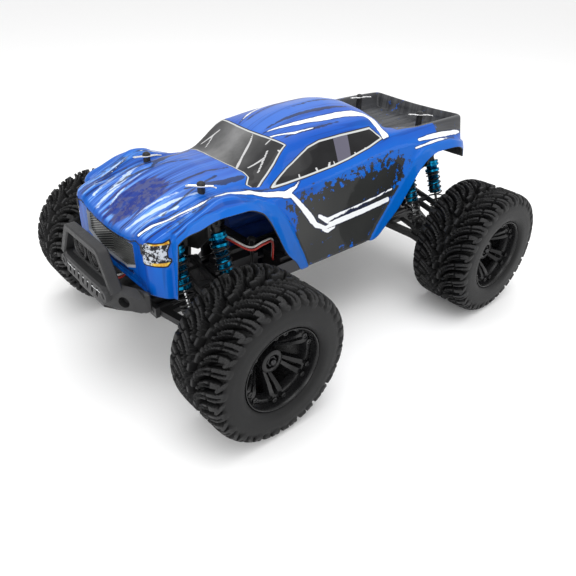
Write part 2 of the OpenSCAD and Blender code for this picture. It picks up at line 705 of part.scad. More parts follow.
module body_skin() {
    outer = [for (x = stations) full_section(x)];
    n = len(outer);
    m = len(outer[0]);
    inner = [for (i = [0 : n - 1]) [for (j = [0 : m - 1]) inward(outer, i, j)]];
    // The middle of each end panel's lower edge, outside and inside
    tail_x = stations[0];
    nose_x = stations[n - 1];
    hubs = [
        [tail_x, 0, lookup(tail_x, edge_z)], [tail_x + skin, 0, inner[0][0][2]],
        [nose_x, 0, lookup(nose_x, edge_z)], [nose_x - skin, 0, inner[n - 1][0][2]]
    ];
    points = concat([for (r = outer) each r], [for (r = inner) each r], hubs);
    o = n * m;
    skins = [
        for (i = [0 : n - 2], j = [0 : m - 2]) each [
            [i * m + j, (i + 1) * m + j, (i + 1) * m + j + 1],
            [i * m + j, (i + 1) * m + j + 1, i * m + j + 1],
            [o + i * m + j, o + (i + 1) * m + j + 1, o + (i + 1) * m + j],
            [o + i * m + j, o + i * m + j + 1, o + (i + 1) * m + j + 1]
        ]
    ];
    hems = [
        for (i = [0 : n - 2]) each [
            [i * m, o + i * m, o + (i + 1) * m], [i * m, o + (i + 1) * m, (i + 1) * m],
            [i * m + m - 1, (i + 1) * m + m - 1, o + (i + 1) * m + m - 1],
            [i * m + m - 1, o + (i + 1) * m + m - 1, o + i * m + m - 1]
        ]
    ];
    nose = (n - 1) * m;
    hub = 2 * o;
    ends = [
        for (j = [0 : m - 2]) each [
            [hub, j, j + 1], [hub + 1, o + j + 1, o + j],
            [hub + 2, nose + j + 1, nose + j], [hub + 3, o + nose + j, o + nose + j + 1]
        ]
    ];
    sills = [
        [hub, o + m - 1, m - 1], [hub, hub + 1, o + m - 1], [hub, 0, o], [hub, o, hub + 1],
        [hub + 2, nose + m - 1, o + nose + m - 1], [hub + 2, o + nose + m - 1, hub + 3],
        [hub + 2, o + nose, nose], [hub + 2, hub + 3, o + nose]
    ];
    faces = concat(skins, hems, ends, sills);
    polyhedron(points, faces);
}

// Body shell with the four post holes
module body_shell() {
    color(blue) difference() {
        body_skin();
        for (end = post_ends, t = [-1, 1])
            translate([end[0], t * post_y, 152]) cylinder(h = 40, r = 4, $fn = 24);
    }
}

// Spring clips that pass through the body posts above the shell
module body_clips() {
    color(steel) for (end = post_ends, t = [-1, 1])
        translate([end[0], t * post_y, end[1] + 1.2]) rotate([90, 0, t * 30])
            rotate_extrude($fn = 32) translate([4.4, 0]) circle(r = 0.6, $fn = 16);
}

// ---------------------------------------------------------------- drive line

module motor() {
    color([0.55, 0.56, 0.58]) difference() {
        bar_x(-86, -36, [motor_y, drive_z], motor_r);
        bar_x(-50, -35, [motor_y, drive_z], 1.6 + run_gap);
    }
    color(black) bar_x(-92, -86, [motor_y, drive_z], 15);
}

module motor_pinion() {
    color(steel) translate([0, motor_y, drive_z]) rotate([90, 0, 90]) {
        translate([0, 0, spur_x]) linear_extrude(gear_w) gear_outline(pinion_teeth, 0);
        translate([0, 0, -46]) cylinder(h = 46 + spur_x + gear_w + 1, r = 1.6);
        translate([0, 0, spur_x - 1.5]) cylinder(h = gear_w + 4, r = 3.6);
    }
}

// Spur gear on the long centre shaft, with a bevel pinion at each end
module centre_drive() {
    x_front = front_axle - 19.8;
    x_rear = rear_axle + 19.8;
    color(grey) translate([spur_x, 0, drive_z]) rotate([90, 0, 90]) difference() {
        linear_extrude(gear_w) gear_outline(spur_teeth, 180 / spur_teeth);
        for (a = [0 : 60 : 300]) rotate(a) translate([10, 0, -1]) cylinder(h = gear_w + 2, r = 3);
    }
    color(steel) {
        bar_x(x_rear, x_front, [0, drive_z], 2.5);
        translate([x_front - 1, 0, drive_z]) rotate([0, 90, 0]) cylinder(h = 5, r1 = 5, r2 = 3.6);
        translate([x_rear + 1, 0, drive_z]) rotate([0, -90, 0]) cylinder(h = 5, r1 = 5, r2 = 3.6);
        bar_x(spur_x - 1.4, spur_x + gear_w + 3, [0, drive_z], 5);
    }
}

// ---------------------------------------------------------------- electrics

// Six-cell stick pack on its side in the tray
module battery() {
    color([0.1, 0.25, 0.6]) for (i = [0 : 2], k = [0, 1])
        bar_x(-75 + i * 43.9, -31.2 + i * 43.9, [-28.4, deck_z + 11 + k * 21.6], 10.8);
}

// Combined receiver and speed controller with its heat sink
module receiver_esc() {
    color(black) translate([-6, 12, deck_z]) cube([46, 26, 15]);
    color(grey) for (i = [0 : 6]) translate([i * 5, 14, deck_z + 14.8]) cube([2, 22, 9]);
}

module steering_servo() {
    color(black) difference() {
        union() {
            translate([horn_x - 30, horn_y - 10, deck_z]) cube([40, 20, 22]);
            translate([horn_x - 37, horn_y - 10, deck_z + 15]) cube([54, 20, 2.4]);
        }
        for (x = [-34, 14], y = [-5, 5])
            translate([horn_x + x, horn_y + y, deck_z + 10]) cylinder(h = 10, r = 1.2, $fn = 24);
    }
    color(steel) translate([horn_x, horn_y, deck_z + 21]) {
        cylinder(h = 3, r = 4);
        cylinder(h = link_z - deck_z - 21, r = 2.4);
    }
}

// Crank on the servo or on the idler post, with the pin that carries the drag link
module crank(y, bore_r) {
    color(grey) difference() {
        union() {
            translate([horn_x, y, horn_z]) cylinder(h = 3.6, r = 6);
            translate([horn_x - steer_arm, y - 3.5, horn_z]) cube([steer_arm, 7, 3.6]);
            translate([horn_x - steer_arm, y, horn_z]) cylinder(h = 3.6, r = 3.5);
        }
        translate([horn_x, y, horn_z - 1]) cylinder(h = 6, r = bore_r + run_gap);
    }
    color(steel) translate([horn_x - steer_arm, y, horn_z + 3.6]) cylinder(h = 4.4, r = pin_r);
}

module servo_horn() crank(horn_y, 2.4);

module idler_arm() crank(-horn_y, 2);

// Bar across the two cranks, with a ball stud at each end for the tie rods
module drag_link() {
    color(grey) difference() {
        translate([link_ball[0] - 3.5, -28, link_z]) cube([7, 56, link_t]);
        for (s = [-1, 1]) translate([link_ball[0], s * horn_y, link_z - 1])
            cylinder(h = 5, r = pin_r + run_gap);
    }
    color(steel) for (s = [-1, 1]) translate([link_ball[0], s * link_ball[1], 0]) {
        translate([0, 0, link_z + link_t - 0.1]) cylinder(h = 2.4, r = 1.2);
        translate([0, 0, link_ball[2]]) sphere(r = 2.4, $fn = 40);
    }
}

// Tie rod: a threaded rod between two ball sockets
module tie_rod(side) {
    a = link_ball;
    b = knuckle_ball;
    span = b - a;
    turn = atan2(span[1], span[0]);
    rise = atan2(span[2], norm([span[0], span[1]]));
    mirror([0, side < 0 ? 1 : 0, 0]) {
        color(steel) translate(a) rotate([0, -rise, turn]) rotate([0, 90, 0])
            translate([0, 0, 6]) cylinder(h = norm(span) - 12, r = 1.5);
        color(black) {
            difference() {
                union() {
                    translate(a) sphere(r = 4.2, $fn = 40);
                    translate(a) rotate([0, -rise, turn]) rotate([0, 90, 0])
                        translate([0, 0, 2.6]) cylinder(h = 12, r = 2.4);
                }
                translate(a) sphere(r = 2.62, $fn = 40);
                translate(a - [0, 0, 6]) cylinder(h = 6, r = 2.3);
                translate(a - [6, 6, 8.4]) cube([12, 12, 6]);
            }
            difference() {
                union() {
                    translate(b) sphere(r = 3.9, $fn = 40);
                    translate(a) rotate([0, -rise, turn]) rotate([0, 90, 0])
                        translate([0, 0, norm(span) - 12.6]) cylinder(h = 10, r = 2);
                }
                translate(b) sphere(r = 2.72, $fn = 40);
                translate(b - [0, 0, 6]) cylinder(h = 6, r = 2.4);
            }
        }
    }
}

// Lamp leads, from the speed controller over the front gearbox to the bumper
lead_route = [
    [41.4, 30, 70], [46, 34, 74], [54, 44, 92], [64, 54, 106], [76, 57, 108], [86, 52, 104],
    [96, 34, 110], [104, 14, 113], [114, 5, 113], [134, 5, 113], [152, 5, 112], [166, 6, 104],
    [176, 7, 95], [184, 8, 92.6], [190, 9, 97], [191.5, 10, 107], [192.6, 11.4, 116],
    [195.3, 12, 118.6]
];
second_lead = [-0.4, -1.2, 2];
module wiring() {
    color([0.8, 0.1, 0.1]) tube(smooth(lead_route, 3), 0.9);
    color([0.9, 0.9, 0.9]) tube(smooth([for (p = lead_route) p + second_lead], 3), 0.9);
}

// ---------------------------------------------------------------- nodes

corner(front_axle, 1) tyre();  // tyre_fl
corner(front_axle, -1) tyre();  // tyre_fr
corner(rear_axle, 1) tyre();  // tyre_rl
corner(rear_axle, -1) tyre();  // tyre_rr
corner(front_axle, 1) wheel();  // wheel_fl
corner(front_axle, -1) wheel();  // wheel_fr
corner(rear_axle, 1) wheel();  // wheel_rl
corner(rear_axle, -1) wheel();  // wheel_rr
corner(front_axle, 1) lower_arm();  // lower_arm_fl
corner(front_axle, -1) lower_arm();  // lower_arm_fr
corner(rear_axle, 1) lower_arm();  // lower_arm_rl
corner(rear_axle, -1) lower_arm();  // lower_arm_rr
corner(front_axle, 1) upper_arm();  // upper_arm_fl
corner(front_axle, -1) upper_arm();  // upper_arm_fr
corner(rear_axle, 1) upper_arm();  // upper_arm_rl
corner(rear_axle, -1) upper_arm();  // upper_arm_rr
corner(front_axle, 1) c_hub();  // c_hub_fl
corner(front_axle, -1) c_hub();  // c_hub_fr
corner(rear_axle, 1) hub_carrier();  // hub_carrier_rl
corner(rear_axle, -1) hub_carrier();  // hub_carrier_rr
corner(front_axle, 1) knuckle();  // knuckle_fl
corner(front_axle, -1) knuckle();  // knuckle_fr
corner(front_axle, 1) shock_body();  // shock_body_fl
corner(front_axle, -1) shock_body();  // shock_body_fr
corner(rear_axle, 1) shock_body();  // shock_body_rl
corner(rear_axle, -1) shock_body();  // shock_body_rr
corner(front_axle, 1) shock_rod();  // shock_rod_fl
corner(front_axle, -1) shock_rod();  // shock_rod_fr
corner(rear_axle, 1) shock_rod();  // shock_rod_rl
corner(rear_axle, -1) shock_rod();  // shock_rod_rr
corner(front_axle, 1) spring();  // spring_fl
corner(front_axle, -1) spring();  // spring_fr
corner(rear_axle, 1) spring();  // spring_rl
corner(rear_axle, -1) spring();  // spring_rr
corner(front_axle, 1) dogbone();  // dogbone_fl
corner(front_axle, -1) dogbone();  // dogbone_fr
corner(rear_axle, 1) dogbone();  // dogbone_rl
corner(rear_axle, -1) dogbone();  // dogbone_rr
chassis_plate();
gearboxes();
shock_towers();
body_posts();
front_bumper();
bumper_lamps();
body_shell();
body_clips();
motor();
motor_pinion();
centre_drive();
outdrives(front_axle);  // outdrives_front
outdrives(rear_axle);  // outdrives_rear
battery();
receiver_esc();
steering_servo();
servo_horn();
idler_arm();
drag_link();
tie_rod(1);  // tie_rod_left
tie_rod(-1);  // tie_rod_right
wiring();
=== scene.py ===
"""Looks of a radio-controlled monster truck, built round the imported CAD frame.

Shapes are drawn in millimetres, +X forward, +Y left, +Z up, with the origin on the ground
under the middle of the truck, as in the CAD. add_piece() turns them into metres.
"""
import json
import math

import bmesh
import bpy
import numpy as np
from mathutils import Matrix, Vector


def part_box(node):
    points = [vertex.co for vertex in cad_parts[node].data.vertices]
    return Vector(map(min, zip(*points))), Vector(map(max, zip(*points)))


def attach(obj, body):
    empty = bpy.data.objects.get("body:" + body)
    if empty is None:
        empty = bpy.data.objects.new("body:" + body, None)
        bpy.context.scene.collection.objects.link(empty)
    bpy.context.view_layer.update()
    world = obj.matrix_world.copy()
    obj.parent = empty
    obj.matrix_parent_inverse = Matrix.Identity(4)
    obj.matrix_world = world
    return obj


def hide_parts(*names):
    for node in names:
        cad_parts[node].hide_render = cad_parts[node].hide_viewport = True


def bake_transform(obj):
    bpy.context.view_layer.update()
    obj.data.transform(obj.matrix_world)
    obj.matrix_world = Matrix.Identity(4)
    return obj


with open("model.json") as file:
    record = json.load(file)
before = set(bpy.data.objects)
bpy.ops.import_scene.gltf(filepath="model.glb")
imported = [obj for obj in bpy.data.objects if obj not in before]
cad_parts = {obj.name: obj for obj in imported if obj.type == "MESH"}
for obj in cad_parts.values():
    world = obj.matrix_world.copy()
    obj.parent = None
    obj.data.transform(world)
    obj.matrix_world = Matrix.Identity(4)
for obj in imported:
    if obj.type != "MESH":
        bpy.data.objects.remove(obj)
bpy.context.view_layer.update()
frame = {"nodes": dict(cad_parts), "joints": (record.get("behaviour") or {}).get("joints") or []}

MM = 0.001
CORNERS = {"fl": 1, "fr": -1, "rl": 1, "rr": -1}
SHARP_ANGLE = 38


def centre_of(node):
    """Middle of a CAD node's box, in mm."""
    low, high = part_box(node)
    return np.array((low + high) / 2) / MM


def size_of(node):
    """Size of a CAD node's box, in mm."""
    low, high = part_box(node)
    return np.array(high - low) / MM


# ---------------------------------------------------------------- shaders


class Shader:
    """A procedural material, built node by node from plain calls."""

    def __init__(self, name, colour=(0.5, 0.5, 0.5), **sockets):
        self.material = bpy.data.materials.new(name)
        self.material.use_nodes = True
        self.tree = self.material.node_tree
        self.surface = self.tree.nodes["Principled BSDF"]
        self.put("Base Color", colour)
        for socket, value in sockets.items():
            self.put(socket.replace("_", " "), value)
        self.places = None

    def put(self, socket, value):
        """Sets or links one socket of the surface."""
        self.feed(self.surface.inputs[socket], value)

    def feed(self, socket, value):
        """Links a socket to another, or sets it to a number or a colour."""
        if isinstance(value, bpy.types.NodeSocket):
            self.tree.links.new(value, socket)
        elif socket.type == "RGBA":
            socket.default_value = (*value[:3], 1)
        else:
            socket.default_value = value

    def node(self, kind, inputs=(), **settings):
        """A new node of a kind, with its inputs fed and its settings made."""
        made = self.tree.nodes.new("ShaderNode" + kind)
        for key, value in settings.items():
            setattr(made, key, value)
        for socket, value in dict(inputs).items():
            self.feed(made.inputs[socket], value)
        return made

    def place(self):
        """The point on the object, in metres."""
        if self.places is None:
            self.places = self.node("TexCoord").outputs["Object"]
        return self.places

    def axis(self, letter):
        """One coordinate of the point on the object, in mm."""
        split = self.node("SeparateXYZ", {0: self.place()})
        return self.times(split.outputs[letter], 1000)

    def math(self, operation, a, b=0.0, c=0.0):
        return self.node("Math", {0: a, 1: b, 2: c}, operation=operation).outputs[0]

    def times(self, a, b):
        return self.math("MULTIPLY", a, b)

    def plus(self, a, b):
        return self.math("ADD", a, b)

    def mix(self, factor, a, b, blend="MIX"):
        """Colour a, with colour b blended over it by a factor."""
        mixer = self.node("Mix", {0: factor, 6: a, 7: b}, data_type="RGBA", blend_type=blend)
        return mixer.outputs[2]

    def noise(self, scale, detail=3.0, rough=0.5, stretch=None):
        """Noise from about 0.2 to 0.8 over the object, finer along a greater stretch."""
        where = self.place()
        if stretch:
            where = self.node("Mapping", {"Vector": where, "Scale": stretch}).outputs[0]
        made = self.node("TexNoise", {
            "Vector": where, "Scale": scale, "Detail": detail, "Roughness": rough})
        return made.outputs[0]

    def ramp(self, value, low, high, to_low=0.0, to_high=1.0):
        """Value scaled from low..high to to_low..to_high, and held between them."""
        made = self.node("MapRange", {0: value, 1: low, 2: high, 3: to_low, 4: to_high})
        return made.outputs[0]

    def attribute(self, name):
        """A value stored with the points of the mesh."""
        return self.node("Attribute", attribute_name=name).outputs["Fac"]

    def inside(self, distance, edge=0.0, soft=0.12):
        """1 where a distance in mm is under edge, 0 where it is over."""
        return self.ramp(distance, edge - soft, edge + soft, 1.0, 0.0)

    def cover(self, mark, colour, tone, edge=0.0):
        """A colour, with a tone over it inside one mark of the livery."""
        return self.mix(self.inside(self.attribute(mark), edge), colour, tone)

    def bump(self, height, distance, strength=1.0):
        """Fine relief from a height of 0 to 1, over a distance in metres."""
        made = self.node("Bump", {
            "Height": height, "Distance": distance, "Strength": strength})
        self.put("Normal", made.outputs[0])


def moulded_plastic(name, colour, roughness, grain=0.00006):
    """Injection-moulded plastic: fine eroded grain, and a slow change of gloss."""
    s = Shader(name, IOR=1.46, Specular_IOR_Level=0.36)
    tone = s.ramp(s.noise(60, 2), 0.3, 0.7)
    scuff = s.ramp(s.noise(900, 4, 0.7), 0.62, 0.8)
    s.put("Base Color", s.mix(scuff, s.mix(tone, colour, [c * 1.35 for c in colour]),
                              [c * 1.9 + 0.004 for c in colour]))
    s.put("Roughness", s.ramp(s.noise(240, 4), 0.25, 0.75, roughness - 0.09, roughness + 0.09))
    s.bump(s.noise(2600, 3), grain)
    return s.material


def machined_metal(name, colour, roughness, brush=(1, 1, 1), spread=0.08):
    """Metal with fine tool marks along one direction."""
    s = Shader(name, Metallic=1.0)
    marks = s.noise(1500, 4, 0.6, stretch=brush)
    s.put("Base Color", s.mix(s.ramp(marks, 0.3, 0.7), [c * 0.8 for c in colour], colour))
    s.put("Roughness", s.ramp(marks, 0.3, 0.7, roughness - spread, roughness + spread))
    s.bump(marks, 0.00002, 0.6)
    return s.material


def rubber():
    """Tyre rubber: matt black and a little dusty, with painted shade in the grooves, lug tops
    lighter from wear and painted highlight, and a fine moulded grain.
    """
    s = Shader("tyre_rubber", IOR=1.5, Specular_IOR_Level=0.22)
    dust = s.ramp(s.noise(45, 5, 0.6), 0.35, 0.75)
    fine = s.noise(1400, 4, 0.65)
    colour = s.mix(dust, (0.0045, 0.0045, 0.005), (0.008, 0.008, 0.008))
    # Painted shade: the grooves between the lugs are darker than the lug faces.
    low = s.ramp(s.attribute("lug"), 0.0, 0.55)
    colour = s.mix(low, (0.0025, 0.0025, 0.0027), colour)
    # Wear and painted highlight: patches on the lug tops are lighter.
    wear_and_highlight = s.times(s.ramp(s.attribute("lug"), 0.8, 1.0), s.ramp(fine, 0.4, 0.65))
    s.put("Base Color", s.mix(wear_and_highlight, colour, (0.030, 0.030, 0.031)))
    s.put("Roughness", s.ramp(fine, 0.3, 0.7, 0.42, 0.62))
    s.bump(fine, 0.00012)
    return s.material


def sleeve(name, colour):
    """Heat-shrink sleeve: glossy film with soft wrinkles round the cells."""
    s = Shader(name, Roughness=0.28, Coat_Weight=0.3)
    wrinkle = s.noise(160, 3, 0.55, stretch=(0.25, 1, 1))
    s.put("Base Color", s.mix(s.ramp(wrinkle, 0.4, 0.7), colour, [c * 0.6 for c in colour]))
    s.bump(wrinkle, 0.0006, 0.7)
    return s.material


def wire_sleeve(name, colour):
    """Soft silicone wire insulation, a little dusty."""
    s = Shader(name)
    dust = s.ramp(s.noise(500, 4), 0.4, 0.8)
    s.put("Base Color", s.mix(dust, colour, [c * 0.7 + 0.03 for c in colour]))
    s.put("Roughness", s.ramp(dust, 0.0, 1.0, 0.38, 0.6))
    s.bump(s.noise(3000, 2), 0.00003)
    return s.material


def anodised(name, colour):
    """Dyed anodised aluminium, with turning marks."""
    s = Shader(name, Metallic=1.0)
    marks = s.noise(1800, 3, 0.6, stretch=(0.3, 0.3, 1.5))
    deep = [c * 0.55 for c in colour]
    s.put("Base Color", s.mix(s.ramp(marks, 0.3, 0.7), deep, colour))
    s.put("Roughness", s.ramp(marks, 0.3, 0.7, 0.2, 0.34))
    s.bump(marks, 0.00002, 0.5)
    return s.material


RUBBER = rubber()
RIM_BLACK = moulded_plastic("rim_plastic", (0.006, 0.006, 0.0065), 0.27, 0.00003)
ARM_BLACK = moulded_plastic("arm_plastic", (0.018, 0.018, 0.019), 0.42)
BUMPER_GREY = moulded_plastic("bumper_plastic", (0.020, 0.020, 0.021), 0.5, 0.0001)
POST_BLACK = moulded_plastic("post_plastic", (0.012, 0.012, 0.013), 0.4)
LAMP_BLACK = moulded_plastic("lamp_black", (0.005, 0.005, 0.0055), 0.26, 0.00002)
BOX_BLACK = moulded_plastic("box_black", (0.02, 0.02, 0.022), 0.45)
GEAR_BLACK = moulded_plastic("gear_plastic", (0.03, 0.03, 0.032), 0.38)
STEEL = machined_metal("rod_steel", (0.70, 0.71, 0.72), 0.2, (0.2, 0.2, 2))
DRIVE_STEEL = machined_metal("drive_steel", (0.20, 0.20, 0.205), 0.32, (0.4, 0.4, 2))
CLIP_STEEL = machined_metal("clip_steel", (0.86, 0.86, 0.87), 0.16)
NUT_BLACK = machined_metal("black_nut", (0.05, 0.05, 0.052), 0.3)
SPRING_BLACK = moulded_plastic("spring_steel", (0.016, 0.016, 0.017), 0.3, 0.00002)
PLATE = machined_metal("plate_alloy", (0.07, 0.07, 0.074), 0.4, (0.15, 2, 2))
CAN = machined_metal("motor_can", (0.6, 0.6, 0.62), 0.3, (2, 0.3, 0.3))
HUB_GREY = machined_metal("hub_metal", (0.13, 0.13, 0.14), 0.42)
SHOCK_BLUE = anodised("shock_alloy", (0.006, 0.22, 0.42))
PACK_BLUE = sleeve("pack_sleeve", (0.02, 0.07, 0.35))
WIRE_RED = wire_sleeve("wire_red", (0.55, 0.03, 0.02))
WIRE_WHITE = wire_sleeve("wire_white", (0.75, 0.74, 0.72))


# ---------------------------------------------------------------- mesh helpers


def add_piece(name, points, faces, materials, body, slot, face_materials=None,
              sharp=SHARP_ANGLE, values=None):
    """A mesh piece from points in mm, riding on a body. values are per-point attributes."""
    mesh = bpy.data.meshes.new(name)
    mesh.from_pydata((np.asarray(points) * MM).tolist(), [], [list(f) for f in faces])
    for material in materials:
        mesh.materials.append(material)
    if face_materials is not None:
        mesh.polygons.foreach_set("material_index", np.asarray(face_materials, np.int32))
    for key, column in (values or {}).items():
        layer = mesh.attributes.new(key, "FLOAT", "POINT")
        layer.data.foreach_set("value", np.asarray(column, np.float32))
    mesh.polygons.foreach_set("use_smooth", np.ones(len(faces), bool))
    mesh.set_sharp_from_angle(angle=math.radians(sharp))
    mesh.update()
    piece = bpy.data.objects.new(name, mesh)
    bpy.context.scene.collection.objects.link(piece)
    if body:
        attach(piece, body)
    return piece


def add_parts(name, parts, materials, body, slot, stands_for=None):
    """A piece made of collected parts. It replaces a CAD node if one is named."""
    piece = add_piece(name, parts.all_points(), parts.faces, materials, body, slot, parts.owner)
    if stands_for:
        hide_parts(stands_for)
    return piece


class Parts:
    """Collects several closed shapes, each with its own material, into one piece."""

    def __init__(self):
        self.points, self.faces, self.owner, self.count = [], [], [], 0

    def add(self, shape, material=0):
        points, faces = shape
        self.points.append(np.asarray(points, float))
        self.faces += [[i + self.count for i in f] for f in faces]
        self.owner += [material] * len(faces)
        self.count += len(points)

    def include(self, other, at, direction, up):
        """Adds the parts of another piece, moved as place() moves a shape."""
        self.add(place((other.all_points(), other.faces), at, direction, up))
        self.owner[-len(other.faces):] = other.owner

    def all_points(self):
        return np.concatenate(self.points)


def grid_faces(rows, columns, close_rows=False, close_columns=False):
    """Quads of a grid whose points are stored row by row."""
    faces = []
    for i in range(rows if close_rows else rows - 1):
        for j in range(columns if close_columns else columns - 1):
            k, m = (i + 1) % rows, (j + 1) % columns
            faces.append((i * columns + j, i * columns + m, k * columns + m, k * columns + j))
    return faces


def turned(profile, steps=64, closed=False):
    """Solid of revolution about Z from (radius, z) points. A radius of 0 makes a pole."""
    angles = np.arange(steps) * 2 * math.pi / steps
    ring = np.stack([np.cos(angles), np.sin(angles)], 1)
    points, rings = [], []
    for r, z in profile:
        rings.append((sum(map(len, points)), r == 0))
        points.append([[0, 0, z]] if r == 0 else np.column_stack([ring * r, np.full(steps, z)]))
    faces = []
    for (a, a_pole), (b, b_pole) in zip(rings, rings[1:] + rings[:1] if closed else rings[1:]):
        for j in range(steps):
            k = (j + 1) % steps
            quad = [a] if a_pole else [a + j, a + k]
            quad += [b] if b_pole else [b + k, b + j]
            if len(quad) > 2:
                faces.append(quad)
    return np.concatenate(points), faces


def place(shape, at=(0, 0, 0), direction=(0, 0, 1), up=(0, 0, 1)):
    """Turns a shape made along +Z to point along direction, and moves it to at."""
    points, faces = shape
    z = np.array(direction, float) / np.linalg.norm(direction)
    ref = np.array(up, float)
    if abs(z @ ref) > 0.99:
        ref = np.array([1.0, 0, 0])
    x = np.cross(ref, z)
    x /= np.linalg.norm(x)
    turn = np.stack([x, np.cross(z, x), z])
    return np.asarray(points) @ turn + np.array(at, float), faces


def mirrored(shape):
    """The same shape on the other side of the truck."""
    points, faces = shape
    return np.asarray(points) * [1, -1, 1], [tuple(f)[::-1] for f in faces]


def prism(outline, low, high, bevel=0.6):
    """Extrudes a counter-clockwise outline along Z, with its edges cut at 45 degrees."""
    flat = np.array(outline, float)
    n = len(flat)
    before, after = np.roll(flat, 1, 0), np.roll(flat, -1, 0)
    a, b = flat - before, after - flat
    a /= np.linalg.norm(a, axis=1)[:, None]
    b /= np.linalg.norm(b, axis=1)[:, None]
    inward = np.stack([-(a + b)[:, 1], (a + b)[:, 0]], 1)
    inward /= np.maximum((inward * np.stack([-a[:, 1], a[:, 0]], 1)).sum(1), 0.35)[:, None]
    inner = flat + inward * bevel
    rings = [(inner, low), (flat, low + bevel), (flat, high - bevel), (inner, high)]
    points = np.concatenate([np.column_stack([p, np.full(n, z)]) for p, z in rings])
    faces = grid_faces(4, n, False, True)
    faces += [tuple(range(n))[::-1], tuple(range(3 * n, 4 * n))]
    return points, faces


def swept(path, radius, sides=10, closed=False):
    """Round tube along a path in mm, capped unless it is closed."""
    path = np.array(path, float)
    ahead = np.roll(path, -1, 0) - np.roll(path, 1, 0)
    if not closed:
        ahead[0], ahead[-1] = path[1] - path[0], path[-1] - path[-2]
    ahead /= np.linalg.norm(ahead, axis=1)[:, None]
    side = np.zeros_like(path)
    ref = np.array([0.0, 0, 1]) if abs(ahead[0][2]) < 0.9 else np.array([1.0, 0, 0])
    for i, d in enumerate(ahead):
        ref = ref - d * (ref @ d)
        ref /= np.linalg.norm(ref)
        side[i] = ref
    other = np.cross(ahead, side)
    radius = np.broadcast_to(radius, len(path))
    turn = np.arange(sides) * 2 * math.pi / sides
    rings = (path[:, None] + radius[:, None, None] * (
        np.cos(turn)[None, :, None] * side[:, None]
        + np.sin(turn)[None, :, None] * other[:, None]))
    faces = grid_faces(len(path), sides, closed, True)
    faces = [f[::-1] for f in faces]
    if not closed:
        last = (len(path) - 1) * sides
        faces += [tuple(range(sides)), tuple(range(last, last + sides))[::-1]]
    return rings.reshape(-1, 3), faces


def through(points, x):
    """Values at x of a smooth curve through (x, value) points, which never overshoots them."""
    px, py = np.array(points, float).T
    h = np.diff(px)
    slope = np.diff(py) / h
    lean = np.zeros_like(px)
    with np.errstate(divide="ignore", invalid="ignore"):
        w1, w2 = 2 * h[1:] + h[:-1], h[1:] + 2 * h[:-1]
        mean = (w1 + w2) / (w1 / slope[:-1] + w2 / slope[1:])
    lean[1:-1] = np.where(slope[:-1] * slope[1:] > 0, mean, 0)
    lean[0], lean[-1] = slope[0], slope[-1]
    i = np.clip(np.searchsorted(px, x, side="right") - 1, 0, len(h) - 1)
    t = np.clip((x - px[i]) / h[i], 0, 1)
    return (
        (2 * t**3 - 3 * t**2 + 1) * py[i] + (t**3 - 2 * t**2 + t) * h[i] * lean[i]
        + (3 * t**2 - 2 * t**3) * py[i + 1] + (t**3 - t**2) * h[i] * lean[i + 1]
    )


def smooth(points, parts):
    """Catmull-Rom curve through the points, with that many parts to each span."""
    p = np.array([points[0], *points, points[-1]], float)
    out = []
    for i in range(len(points) - 1):
        a, b, c, d = p[i:i + 4]
        for k in range(parts):
            t = k / parts
            out.append(0.5 * (2 * b + (c - a) * t + (2 * a - 5 * b + 4 * c - d) * t * t
                              + (3 * b - a - 3 * c + d) * t**3))
    return np.array(out + [p[-2]])


def smoothstep(value, low, high):
    """Soft step from 0 at low to 1 at high."""
    t = np.clip((value - low) / (high - low), 0, 1)
    return t * t * (3 - 2 * t)


def polygon_distance(u, v, outline):
    """Signed distance in mm from points (u, v) to a closed outline, negative inside."""
    u, v = np.broadcast_arrays(u, v)
    best = np.full(u.shape, 1e9)
    within = np.zeros(u.shape, bool)
    corners = np.array(outline, float)
    for (au, av), (bu, bv) in zip(corners, np.roll(corners, -1, 0)):
        du, dv = bu - au, bv - av
        t = np.clip(((u - au) * du + (v - av) * dv) / (du * du + dv * dv), 0, 1)
        best = np.minimum(best, np.hypot(u - au - t * du, v - av - t * dv))
        if av != bv:
            crosses = ((av > v) != (bv > v)) & (u < (v - av) * du / (bv - av) + au)
            within ^= crosses
    return np.where(within, -best, best)


def line_distance(points, path, widths):
    """Distance in mm from 3D points to the edge of a stripe along a path of 3D points."""
    path = np.array(path, float)
    best = np.full(points.shape[:-1], 1e9)
    for a, b, wa, wb in zip(path, path[1:], widths, widths[1:]):
        d = b - a
        t = np.clip(((points - a) @ d) / (d @ d), 0, 1)
        gap = np.linalg.norm(points - a - t[..., None] * d, axis=-1)
        best = np.minimum(best, gap - (wa + (wb - wa) * t) / 2)
    return best


# ---------------------------------------------------------------- tyres

TYRE_R = size_of("tyre_fl")[2] / 2
TYRE_HALF = size_of("tyre_fl")[1] / 2
PITCHES = 20
PITCH_STEPS = 30

# Middle lines of the lugs and of the slits in them, as (along, across, width) in mm
LUGS = [
    [(-15.5, 2.8, 3.0), (-8, 4.6, 4.6), (-1, 9.6, 5.4), (4, 17, 5.8), (7.2, 25.5, 6.6),
     (8.6, 33, 7.8)],
    [(-14.4, 8.6, 2.4), (-9, 12.2, 4.0), (-4.8, 18, 4.8), (-2.4, 25, 4.6), (-1.6, 29, 3.4)],
    [(-5.4, 28.5, 3), (-2.6, 31, 3.4), (0.6, 33, 3)],
]
SLITS = [
    [(-10, 3.4, 0.9), (-3, 7.4, 1), (2, 13.4, 1), (4.4, 18, 0.9)],
    [(5, 20.8, 0.9), (7, 27, 1), (7.8, 31.5, 0.9)], [(1.4, 21, 1), (8.6, 18.2, 1)],
    [(-11, 10.6, 0.8), (-6.4, 16, 0.9), (-4, 22, 0.8)], [(-7, 22.6, 0.8), (-1, 20.8, 0.8)],
]


